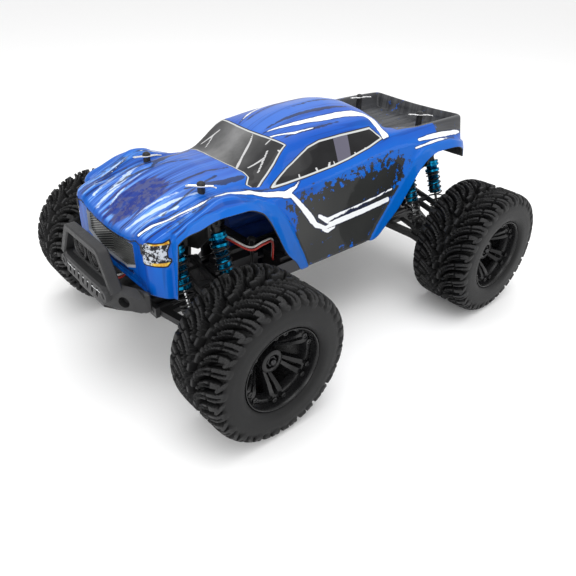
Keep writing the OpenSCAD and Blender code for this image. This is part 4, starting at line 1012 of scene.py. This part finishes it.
def paint(s, x, chips):
    """Blue streaked panels with a painted violet sheen and painted highlights where they face up,
    black doors, dark and pale strokes that are partly print and partly painted shade and
    highlight, grey bed and white trim.
    """
    violet_sheen, blue = (0.044, 0.145, 0.53), (0.0, 0.10, 0.47)
    streak = s.noise(300, 3, 0.5, stretch=(0.03, 1.0, 0.03))
    broad = s.noise(75, 2, 0.5, stretch=(0.10, 1.0, 0.10))
    ragged = s.ramp(chips, 0.3, 0.7, -1.0, 1.0)

    # Violet-blue on the centre panels where they face up: partly print, partly painted sheen.
    colour = s.mix(s.attribute("violet_sheen"), blue, violet_sheen)
    colour = s.mix(s.ramp(broad, 0.42, 0.62, 0.0, 0.45), colour, (0.006, 0.04, 0.34))
    # Pale streaks only where the front of the body faces up: partly print, partly painted
    # highlight.
    forward = s.times(s.ramp(x, 104, 165), s.attribute("crown"))
    streaks = s.times(s.ramp(streak, 0.54, 0.60), forward)
    colour = s.mix(s.times(streaks, 0.7), colour, (0.18, 0.40, 0.84))
    streaks = s.times(s.ramp(streak, 0.45, 0.40), s.ramp(forward, 0.0, 1.0, 0.3, 1.0))
    colour = s.mix(s.times(streaks, 0.9), colour, (0.003, 0.012, 0.10))

    torn = s.times(s.ramp(streak, 0.35, 0.65, -1.0, 1.0), 4.0)
    blotch = s.inside(s.plus(s.attribute("blotch"), torn), 0, 1.2)
    murk = s.mix(s.ramp(chips, 0.47, 0.54), (0.004, 0.02, 0.20), (0.055, 0.062, 0.17))
    colour = s.mix(s.times(blotch, 0.9), colour, murk)
    # Pale strokes at the front of the hood: partly print, partly painted highlight.
    pale = s.inside(s.plus(s.attribute("pale"), s.times(ragged, 1.2)), 0, 0.5)
    colour = s.mix(s.times(pale, s.ramp(streak, 0.38, 0.5)), colour, (0.52, 0.64, 0.82))
    dark = s.inside(s.plus(s.attribute("dark"), s.times(ragged, 0.9)), 0, 0.4)
    colour = s.mix(s.times(dark, 0.85), colour, (0.022, 0.026, 0.05))

    depth = s.attribute("black")
    splash = s.plus(chips, s.ramp(depth, -18, 2, -0.13, 0.12))
    black = s.mix(s.ramp(broad, 0.3, 0.7), (0.012, 0.013, 0.013), (0.045, 0.046, 0.045))
    colour = s.mix(s.times(s.inside(depth, 3, 0.5), s.ramp(splash, 0.545, 0.53)), colour, black)
    colour = s.mix(s.times(s.inside(s.attribute("flare")), 0.9), colour, (0.0, 0.105, 0.46))

    grime = s.mix(s.ramp(streak, 0.35, 0.65), (0.035, 0.036, 0.040), (0.075, 0.077, 0.082))
    scratch = s.times(s.ramp(chips, 0.60, 0.63), s.ramp(broad, 0.5, 0.6))
    colour = s.cover("bed", colour, s.mix(scratch, grime, (0.02, 0.10, 0.42)))

    white = s.plus(s.attribute("white"), s.times(ragged, 0.35))
    edge = s.inside(s.attribute("white"), 0.9, 0.3)
    colour = s.mix(s.times(edge, 0.7), colour, (0.01, 0.015, 0.05))
    return s.mix(s.inside(white), colour, (0.80, 0.82, 0.84))


def printed_skin():
    """The livery, printed inside clear polycarbonate, so under one glossy coat, with painted
    sheen, highlight, shade and reflection in parts of its colour.
    """
    s = Shader("body_skin", Coat_Weight=0.24, Coat_Roughness=0.04, Roughness=0.36,
               Specular_IOR_Level=0.08)
    x, chips = s.axis("X"), s.noise(150, 6, 0.66)
    colour = paint(s, x, chips)
    colour = s.cover("glass", colour, (0.02, 0.02, 0.03), 0.8)
    colour = s.cover("glass", colour, (0.52, 0.53, 0.52), 0.1)
    colour = s.cover("glass", colour, window_tint(s, x), -1.0)
    colour = s.cover("grille", colour, (0.30, 0.32, 0.36), 0.9)
    colour = s.cover("grille", colour, grille_mesh(s), -0.6)
    # Painted shade: the sunk lower grille is painted near black-blue.
    colour = s.cover("slit", colour, (0.012, 0.03, 0.16))
    colour = s.cover("lamp", colour, (0.01, 0.01, 0.012), 0.1)
    colour = s.cover("lamp", colour, lamp_lens(s, x, chips), -0.9)
    s.put("Base Color", colour)
    s.bump(s.noise(25, 2), 0.0008, 0.35)
    return s.material


def body_inside():
    """Back of the polycarbonate: dull paint overspray."""
    s = Shader("body_inside", (0.03, 0.03, 0.032), Roughness=0.6)
    mist = s.noise(500, 4, 0.7)
    s.put("Base Color", s.mix(s.ramp(mist, 0.35, 0.7), (0.018, 0.018, 0.02), (0.06, 0.06, 0.065)))
    s.bump(mist, 0.00005)
    return s.material


def build_body():
    """The body shell: one skin, with its relief moved and its livery stored point by point."""
    grid = body_grid()
    n, m = grid.shape[:2]
    nose, tail = end_patch(grid[-1]), end_patch(grid[0])
    p, q = nose.shape[:2]
    points = np.concatenate([a.reshape(-1, 3) for a in (grid, nose, tail)])
    across = np.minimum(np.arange(m), m - 1 - np.arange(m))
    row = np.concatenate([np.tile(across, n), np.zeros(2 * p * q)])
    front = np.arange(len(points)) >= n * m
    normal = np.cross(np.gradient(grid, axis=1), np.gradient(grid, axis=0))
    normal /= np.linalg.norm(normal, axis=2)[..., None]
    ends = np.zeros((2 * p * q, 3))
    ends[:p * q, 0], ends[p * q:, 0] = 1, -1
    normal = np.concatenate([normal.reshape(-1, 3), ends])
    marks = livery(points, row, normal, front)
    rise = body_relief(points, row, marks, front)
    rim = np.concatenate([np.zeros(n * m, bool)] + [
        np.pad(np.zeros((p - 2, q - 2), bool), 1, constant_values=True).reshape(-1)] * 2)
    points = points + normal * np.where(rim, 0, rise)[:, None]
    faces = [tuple(f) for f in grid_faces(n, m)]
    faces += [tuple(i + n * m for i in f[::-1]) for f in grid_faces(p, q)]
    faces += [tuple(i + n * m + p * q for i in f) for f in grid_faces(p, q)]
    piece = add_piece("painted_body", points, faces, [printed_skin(), body_inside()], "chassis",
                      "body_skin", sharp=50, values=marks)
    weld = piece.modifiers.new("weld", "WELD")
    weld.merge_threshold = 0.02 * MM
    thick = piece.modifiers.new("skin", "SOLIDIFY")
    thick.thickness = SKIN * MM
    thick.offset = -1
    thick.material_offset = 1
    thick.material_offset_rim = 1
    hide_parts("body_shell")


build_body()

# ---------------------------------------------------------------- wheels and tyres


def build_wheels():
    """Tyre, rim and axle of each corner, riding on the body of its wheel."""
    *tyre, lug = tyre_shape()
    rim = rim_shape()
    axle_parts = axle_shapes()
    for corner, side in CORNERS.items():
        middle = centre_of("tyre_" + corner)
        body = "wheel_" + corner
        out = [0, side, 0]
        shape = tyre if side > 0 else mirrored(tyre)
        piece = add_piece("tyre_tread_" + corner, shape[0] + middle, shape[1], [RUBBER], body,
                          "tyre_rubber", sharp=44, values={"lug": lug})
        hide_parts("tyre_" + corner)
        piece = add_piece("rim_" + corner, *place(rim, middle, out), [RIM_BLACK], body,
                          "rim_plastic", sharp=35)
        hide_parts("wheel_" + corner)
        hub = Parts()
        for k, part in enumerate(axle_parts):
            hub.add(place((part.all_points(), part.faces), middle, out), k)
        add_parts("axle_" + corner, hub, [DRIVE_STEEL, SHOCK_BLUE, NUT_BLACK], body, "rod_steel")


build_wheels()

# ---------------------------------------------------------------- shock absorbers

# The two shock absorbers of a corner stand SHOCK_X before and behind the axle. The rest are
# distances down from the upper eye.
SHOCK_X = 20.0
EYE_TO_EYE = 68.35


def joint(name):
    """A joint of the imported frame, by name."""
    return next(j for j in frame["joints"] if j["name"] == name)


def coil(radius, wire, start, end, turns, dead=1.0):
    """Compression spring along Z, with closed end turns."""
    steps = int(28 * (turns + 2 * dead))
    t = np.linspace(0, turns + 2 * dead, steps)
    share = np.clip((t - dead) / turns, 0, 1)
    low, high = start + wire, end - wire
    lift = wire * 2.05  # height of one closed turn
    ends = lift * (np.clip(t / dead, 0, 1) + np.clip((t - dead - turns) / dead, 0, 1))
    z = low + ends + (high - low - 2 * lift) * share
    angle = t * 2 * math.pi
    return swept(np.stack([radius * np.cos(angle), radius * np.sin(angle), z], 1), wire, 8)


def shock_parts():
    """The damper along +Z from its top eye: (body parts, rod parts, spring) in mm."""
    body, rod = Parts(), Parts()
    eye = place(turned([(1.6, -2.6), (4.2, -2.6), (4.8, -1.8), (4.8, 1.8), (4.2, 2.6),
                        (1.6, 2.6)], 32, True), direction=(1, 0, 0))
    body.add(eye, 1)
    body.add(turned([(0, 2), (3.6, 2.6), (3.9, 7.2), (0, 7.2)], 32), 1)
    cap = [(0, 7), (6.9, 7), (7.4, 7.5), (7.4, 9.2), (6.8, 9.5), (6.8, 10.1), (7.4, 10.4),
           (7.4, 12.4), (6.9, 12.9), (6.2, 13)]
    thread = [(5.5 + 0.45 * (k % 2), 13.4 + 0.7 * k) for k in range(26)]
    tail = [(6.1, 32), (6.1, 34), (5.6, 34.4), (5.6, 35.2), (6.2, 35.6), (6.2, 39.8), (5.4, 41.8),
            (2.2, 42), (0, 42)]
    body.add(turned(cap + thread + tail, 48), 0)
    body.add(turned([(5.6, 16), (7.2, 16), (7.6, 16.5), (7.6, 18.6), (7.2, 19), (5.6, 19)], 48,
                    True), 0)
    for k in range(24):
        turn = k * math.pi / 12
        at = np.array([7.35 * math.cos(turn), 7.35 * math.sin(turn), 0])
        body.add(swept([at + [0, 0, 10.5], at + [0, 0, 12.2]], 0.32, 6), 0)
    rod.add(turned([(0, 41), (1.5, 41), (1.5, 62), (0, 62)], 24), 0)
    rod.add(turned([(1.7, 58.2), (6.8, 58.2), (7.1, 58.6), (7.1, 60.2), (6.6, 60.7), (3.6, 61),
                    (3.3, 61.6), (3.3, 64), (1.7, 64)], 40, True), 1)
    rod.add(place(turned([(3.0, -3), (4.3, -3), (4.8, -2.4), (4.8, 2.4), (4.3, 3), (3.0, 3)], 32,
                         True), (0, 0, EYE_TO_EYE), (1, 0, 0)), 1)
    return body, rod, coil(6.85, 0.72, 19, 58.1, 6.6)


def build_shocks():
    """Two coil-over shock absorbers at each corner."""
    body_parts, rod_parts, spring = shock_parts()
    for corner in CORNERS:
        hinge, stroke = joint("shock_hinge_" + corner), joint("shock_stroke_" + corner)
        middle, down = np.array(hinge["pos_m"]), -np.array(stroke["axis"])
        dampers, rods, coils = Parts(), Parts(), Parts()
        for offset in (-SHOCK_X, SHOCK_X):
            top = middle / MM + [offset, 0, 0]
            dampers.include(body_parts, top, down, (1, 0, 0))
            rods.include(rod_parts, top, down, (1, 0, 0))
            coils.add(place(spring, top, down, (1, 0, 0)))
        add_parts("damper_" + corner, dampers, [SHOCK_BLUE, ARM_BLACK], "shock_body_" + corner,
                  "shock_alloy", "shock_body_" + corner)
        add_parts("damper_rod_" + corner, rods, [STEEL, ARM_BLACK], "shock_rod_" + corner,
                  "rod_steel", "shock_rod_" + corner)
        piece = add_parts("coil_" + corner, coils, [SPRING_BLACK], None, "spring_steel")
        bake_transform(piece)
        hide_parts("spring_" + corner)


build_shocks()

# ---------------------------------------------------------------- front bumper

LAMP_Y, LAMP_Z, GRID_PITCH = 12, 119, 2.1


def hull(points):
    """Convex solid round a set of points in mm."""
    mesh = bmesh.new()
    for p in points:
        mesh.verts.new(p)
    made = bmesh.ops.convex_hull(mesh, input=mesh.verts)
    loose = {g for g in made["geom_interior"] if isinstance(g, bmesh.types.BMVert)}
    loose |= {g for g in made["geom_unused"] if isinstance(g, bmesh.types.BMVert)}
    bmesh.ops.delete(mesh, geom=list(loose), context="VERTS")
    mesh.verts.index_update()
    shape = ([tuple(v.co) for v in mesh.verts], [[v.index for v in f.verts] for f in mesh.faces])
    mesh.free()
    return shape


def rounded_box(low, high, r):
    """Box from low to high whose edges and corners are cut back by r."""
    low, high = np.array(low, float), np.array(high, float)
    points = []
    for ends in np.ndindex(2, 2, 2):
        corner, step = np.where(ends, high, low), np.where(ends, -r, r)
        points += [corner + step * (np.arange(3) != k) for k in range(3)]
        points.append(corner + step * 0.42)
    return hull(points)


def band(path, half_width, front_x, back_x, edge):
    """Flat bar bent along a path of (y, z) points, between two values of x."""
    path = np.array(path, float)
    ahead = np.diff(path, axis=0)
    ahead /= np.linalg.norm(ahead, axis=1)[:, None]
    before, after = np.vstack([ahead[:1], ahead]), np.vstack([ahead, ahead[-1:]])
    across = np.stack([-(before + after)[:, 1], (before + after)[:, 0]], 1)
    across /= np.linalg.norm(across, axis=1)[:, None]
    spread = half_width / (across * np.stack([-before[:, 1], before[:, 0]], 1)).sum(1)
    rings = []
    section = [(-1, 1, 0), (-1, 1, -1), (1, 1, -1), (1, 1, 0), (1, 0, 0), (1, 0, -1), (-1, 0, -1),
               (-1, 0, 0)]
    for a, is_front, cut in section:
        reach = a * (spread - (edge if cut else 0))
        x = front_x if is_front else back_x
        if not cut:
            x = x - edge if is_front else x + edge
        flat = path + across * reach[:, None]
        rings.append(np.column_stack([np.full(len(path), x), flat]))
    points = np.stack(rings, 1)
    n = len(path)
    faces = grid_faces(n, 8, False, True)
    faces += [tuple(range(8))[::-1], tuple(range((n - 1) * 8, n * 8))]
    return points.reshape(-1, 3), faces


def arc(centre, radius, start, end, steps=6):
    """Points of a flat arc between two angles in degrees."""
    angles = np.radians(np.linspace(start, end, steps))
    return [(centre[0] + radius * math.cos(a), centre[1] + radius * math.sin(a)) for a in angles]


def carve(piece, cutters):
    """Cuts closed shapes out of a piece."""
    tool = Parts()
    for cutter in cutters:
        tool.add(cutter)
    cut = add_piece("cutter", tool.all_points(), tool.faces, [], None, None)
    bool_cut = piece.modifiers.new("cut", "BOOLEAN")
    bool_cut.object = cut
    bool_cut.solver = "EXACT"
    evaluated = piece.evaluated_get(bpy.context.evaluated_depsgraph_get())
    piece.modifiers.clear()
    old = piece.data
    piece.data = bpy.data.meshes.new_from_object(evaluated)
    piece.data.name = old.name
    bpy.data.objects.remove(cut)
    piece.data.set_sharp_from_angle(angle=math.radians(SHARP_ANGLE))


def build_bumper():
    """Slotted beam, lamp hoop, cross rod and skid."""
    front_end, half = (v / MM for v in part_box("front_bumper")[1][:2])
    bar = [(198, 0), (198, 34), (189, 50), (184.6, 60), (187, half), (194, 60), (206, 41),
           (front_end - 0.5, 32), (front_end, 12)]
    outline = bar + [(a, -b) for a, b in bar[:0:-1]]
    beam = add_piece("bumper_beam", *prism(outline[::-1], 89, 106, 1.6), [BUMPER_GREY], "chassis",
                     "bumper_plastic")
    slots = []
    for k in range(-3, 4):
        tall = rounded_box([-10, -1.4, -4.6], [10, 1.4, 4.6], 0.5)
        slots.append(place(tall, (210, k * 8, 97.5), (0, 0.34, 1), up=(0, 1, 0)))
    for side in (-1, 1):
        slots.append(place(turned([(0, -9), (4.6, -9), (4.6, 9), (0, 9)], 40),
                           (203.5, side * 50.5, 97), (0.8, side * 0.5, 0)))
        slots.append(hull([(x, side * y, z) for x, y, z in [
            (190, 44, 107), (190, 66, 107), (214, 66, 107), (214, 44, 107), (190, 66, 101),
            (214, 66, 99), (214, 44, 104.6)]]))
    carve(beam, slots)
    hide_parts("front_bumper")

    hoop = Parts()
    leg, shoulder, top = (43.4, 103), (27.4, 127), 131.0
    corner = arc((shoulder[0] - 3.6, top - 5), 5, 35, 90)
    path = [leg] + corner + [(-y, z) for y, z in corner[::-1]] + [(-leg[0], leg[1])]
    hoop.add(band(path, 3.3, 207.6, 198.6, 1.1))
    for side in (-1, 1):
        hoop.add(place(turned([
            (0, 0), (5, 0), (5.5, 0.5), (5.5, 6.6), (4.8, 7.5), (2.6, 7.5), (2.2, 6.8), (0, 6.8)],
            36), (203, side * 35, 99), (1, 0, 0)))
        hoop.add(place(turned([
            (9.4, 0), (10.4, 0.4), (10.4, 7.4), (9.9, 8), (9.2, 8), (8.9, 7.4), (8.9, 2.4),
            (0, 2.2), (0, 0)], 48), (196.2, side * LAMP_Y, LAMP_Z), (1, 0, 0)))
        hoop.add(rounded_box([197, side * 24 - 3, 104], [203, side * 24 + 3, 116], 0.8))
    hoop.add(hull([(x, s * y, z) for s in (-1, 1) for x, y, z in [
        (197, 31, 104), (199.4, 31, 104), (197, 22, 124.5), (199.4, 22, 124.5)]]))
    hoop.add(rounded_box([197, -31, 103], [203.5, 31, 108.5], 0.9))
    add_parts("bumper_hoop", hoop, [BUMPER_GREY], "chassis", "bumper_plastic")

    rod = swept([(209.3, -33, 99.6), (209.6, -18, 99), (209.6, 18, 99), (209.3, 33, 99.6)],
                0.8, 10)
    add_piece("bumper_rod", *rod, [STEEL], "chassis", "rod_steel")

    skid = Parts()
    skid.add(hull([(x, s * y, z) for s in (-1, 1) for x, y, z in [
        (190, 24, 81), (190, 24, 90), (206, 22, 81), (206, 22, 90), (167, 17, 56.2), (167, 17, 59),
        (169, 17, 56.2), (194, 20, 72), (186, 20, 72)]]))
    skid.add(rounded_box([152.8, -12, 66.1], [192.6, 12, 84], 1.2))
    for k in (-1, 0, 1):
        skid.add(hull([(x, k * 12 + s * 1.2, z) for s in (-1, 1) for x, z in [
            (169, 60.6), (192, 76), (192, 70.5), (170, 57)]]))
    add_parts("bumper_skid", skid, [ARM_BLACK], "chassis", "bumper_plastic")


def build_lamps():
    """Two round lamps, each behind a square grid."""
    lamps = Parts()
    for side in (-1, 1):
        at = np.array([198.4, side * LAMP_Y, LAMP_Z])
        lamps.add(place(turned([(0, 0), (8.4, 0), (8.4, 2.2), (0, 2.6)], 40), at, (1, 0, 0)), 1)
        lamps.add(place(turned([
            (7.2, 2), (8.5, 2), (8.5, 4.6), (8.1, 5.2), (7.6, 5.2), (7.2, 4.6)], 48, True),
            at, (1, 0, 0)), 0)
        for k in range(-3, 4):
            off = k * GRID_PITCH
            span = math.sqrt(7.5**2 - off**2)
            rise = 4.6 - 0.03 * off**2
            for flat in (0, 1):
                ends = [(rise - 0.9, -span), (rise, -span / 2), (rise + 0.15, 0), (rise, span / 2),
                        (rise - 0.9, span)]
                path = [at + ([x, off, v] if flat else [x, v, off]) for x, v in ends]
                lamps.add(swept(path, 0.42, 8), 0)
    add_parts("lamp_inserts", lamps, [LAMP_BLACK, RUBBER], "chassis", "lamp_black", "bumper_lamps")


build_bumper()
build_lamps()

# ---------------------------------------------------------------- posts, clips and leads

# Body posts: side place, then (x, height) of the front and rear pair. How the clips lie.
POST_Y = 41.2
POSTS = [(123.9, 168.5), (-137.3, 180)]
CLIP_TURNS = {1: math.radians(-42), -1: math.radians(-18)}


def build_posts():
    """Body posts with domed heads and washers under the shell, on a bar at each end."""
    posts = Parts()
    for x, top in POSTS:
        posts.add(rounded_box((x - 5, -POST_Y - 4, 140), (x + 5, POST_Y + 4, 144), 0.8))
        profile = [(0, 142), (4.6, 142), (4.6, 151), (3.4, 152), (3, 152.6), (3, top - 1),
                   (3.4, top - 0.6), (3.4, top + 0.3), (2.8, top + 1.4), (1.5, top + 2.2),
                   (0, top + 2.4)]
        for side in (-1, 1):
            posts.add(place(turned(profile, 32), (x, side * POST_Y, 0)))
    add_parts("post_set", posts, [POST_BLACK], "chassis", "arm_plastic", "body_posts")


def build_clips():
    """Bent-wire R-clips through the body posts."""
    wire = [(-9.5, 0), (-5, 0), (0, 0), (5, 0), (9.5, 0)] + arc((9.5, 1.7), 1.7, -90, 90, 9)
    wire += [(6.4, 2.6), (3.2, 3.5), (0, 4.2), (-3.2, 3.6), (-6.6, 2.2), (-9.6, 2.8), (-12, 4.6)]
    clips = Parts()
    for x, top in POSTS:
        for side, turn in CLIP_TURNS.items():
            ahead = np.array([math.cos(turn), math.sin(turn), 0])
            beside = np.array([-ahead[1], ahead[0], 0.12])
            path = [np.array([x, side * POST_Y, top - 1.2]) + a * ahead + b * beside
                    for a, b in smooth(wire, 3)]
            clips.add(swept(path, 0.62, 8))
    add_parts("r_clips", clips, [CLIP_STEEL], "chassis", "clip_steel", "body_clips")


LEAD_ROUTE = [
    (41.4, 30, 70), (46, 34, 74), (54, 44, 92), (64, 54, 106), (76, 57, 108), (86, 52, 104),
    (96, 34, 110), (104, 14, 113), (114, 5, 113), (134, 5, 113), (152, 5, 112), (166, 6, 104),
    (176, 7, 95), (184, 8, 92.6), (190, 9, 97), (191.5, 10, 107), (192.6, 11.4, 116),
    (195.3, 12, 118.6)]
LEADS = [("lead_red", (0, 0, 0), WIRE_RED), ("lead_white", (-0.4, -1.2, 2), WIRE_WHITE)]


def build_leads():
    """Two lamp leads, side by side, from the speed controller to the lamps."""
    for name, shift, material in LEADS:
        path = smooth([np.add(p, shift) for p in LEAD_ROUTE], 8)
        piece = add_piece(name, *swept(path, 0.9, 12), [material], "chassis", "wire_sleeve")
        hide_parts("wiring")


build_posts()
build_clips()
build_leads()

# ---------------------------------------------------------------- carried-over CAD nodes


def finish_cad(node, material):
    """Gives a CAD node its own finish."""
    thing = frame["nodes"][node]
    if not thing.material_slots:
        thing.data.materials.append(material)
    for slot in thing.material_slots:
        slot.material = material


FINISHES = [
    (PLATE, ["chassis_plate"]), (GEAR_BLACK, ["gearboxes"]), (CAN, ["motor"]),
    (PACK_BLUE, ["battery"]), (BOX_BLACK, ["receiver_esc", "steering_servo"]),
    (HUB_GREY, ["knuckle_fl", "knuckle_fr"]),
    (DRIVE_STEEL, ["motor_pinion", "centre_drive", "outdrives_front", "outdrives_rear"]),
    (DRIVE_STEEL, ["dogbone_" + corner for corner in CORNERS]),
    (ARM_BLACK, ["shock_towers", "servo_horn", "idler_arm", "drag_link", "tie_rod_left",
                 "tie_rod_right", "c_hub_fl", "c_hub_fr", "hub_carrier_rl", "hub_carrier_rr"]),
    (ARM_BLACK, ["lower_arm_" + corner for corner in CORNERS]),
    (ARM_BLACK, ["upper_arm_" + corner for corner in CORNERS]),
]
for material, nodes in FINISHES:
    for node in nodes:
        finish_cad(node, material)

# ---------------------------------------------------------------- stage, lights, camera

FLOOR_HALF = 15
# Camera place in mm, and its azimuth, elevation and roll in degrees
CAMERA_AT = (347.4, 392.7, 337.0)
CAMERA_ANGLES = (138.1, 32.18, 1.91)
CAMERA_LENS = 36.19
# Soft lights, in metres and watts: name, place, size, power
LIGHTS = [
    ("overhead", (0.1, 0.1, 1.3), 1.2, 9), ("front_left", (1.1, 1.0, 0.7), 0.8, 5),
    ("side", (-0.8, 1.2, 0.6), 0.7, 2.5)]
LIGHTS_AIM = (0, 0, 0.1)


def paper():
    """Plain pale floor."""
    s = Shader("floor_paper", (0.97, 0.97, 0.97), Roughness=0.85)
    s.bump(s.noise(400, 3), 0.00005, 0.3)
    return s.material


def build_floor():
    """The floor, which is not part of the object."""
    floor_mesh = bpy.data.meshes.new("floor")
    floor_mesh.from_pydata([(x * FLOOR_HALF, y * FLOOR_HALF, 0)
                            for x, y in ((-1, -1), (1, -1), (1, 1), (-1, 1))], [], [(0, 1, 2, 3)])
    floor_mesh.materials.append(paper())
    floor = bpy.data.objects.new("floor", floor_mesh)
    bpy.context.scene.collection.objects.link(floor)


def build_sky():
    """Even white light from all round."""
    world = bpy.data.worlds.new("studio")
    world.use_nodes = True
    sky = world.node_tree.nodes["Background"].inputs
    sky["Color"].default_value = (1, 1, 1, 1)
    sky["Strength"].default_value = 0.92
    bpy.context.scene.world = world


def soft_light(name, place_at, size, watts):
    """Square area light that faces the truck."""
    data = bpy.data.lights.new(name, "AREA")
    data.shape = "RECTANGLE"
    data.size = data.size_y = size
    data.energy = watts
    thing = bpy.data.objects.new(name, data)
    thing.location = place_at
    aim = Vector(LIGHTS_AIM) - Vector(place_at)
    thing.rotation_euler = aim.to_track_quat("-Z", "Y").to_euler()
    bpy.context.scene.collection.objects.link(thing)


def build_camera():
    """The camera that was fitted to the photo."""
    camera_data = bpy.data.cameras.new("camera")
    camera_data.sensor_width = 36
    camera_data.lens = CAMERA_LENS
    camera_data.clip_start = 0.02
    camera = bpy.data.objects.new("camera", camera_data)
    azimuth, elevation, roll = (math.radians(a) for a in CAMERA_ANGLES)
    back = Vector((math.sin(azimuth) * math.cos(elevation),
                   -math.cos(azimuth) * math.cos(elevation), math.sin(elevation)))
    level = Vector((0, 0, 1)).cross(back).normalized()
    upright = back.cross(level)
    right = math.cos(roll) * level + math.sin(roll) * upright
    above = math.cos(roll) * upright - math.sin(roll) * level
    camera.matrix_world = Matrix.Translation(Vector(CAMERA_AT) * MM) @ Matrix(
        (right, above, back)).transposed().to_4x4()
    bpy.context.scene.collection.objects.link(camera)
    bpy.context.scene.camera = camera


build_floor()
build_sky()
for light in LIGHTS:
    soft_light(*light)
build_camera()
bpy.context.scene.view_settings.view_transform = "Standard"

bpy.context.view_layer.update()
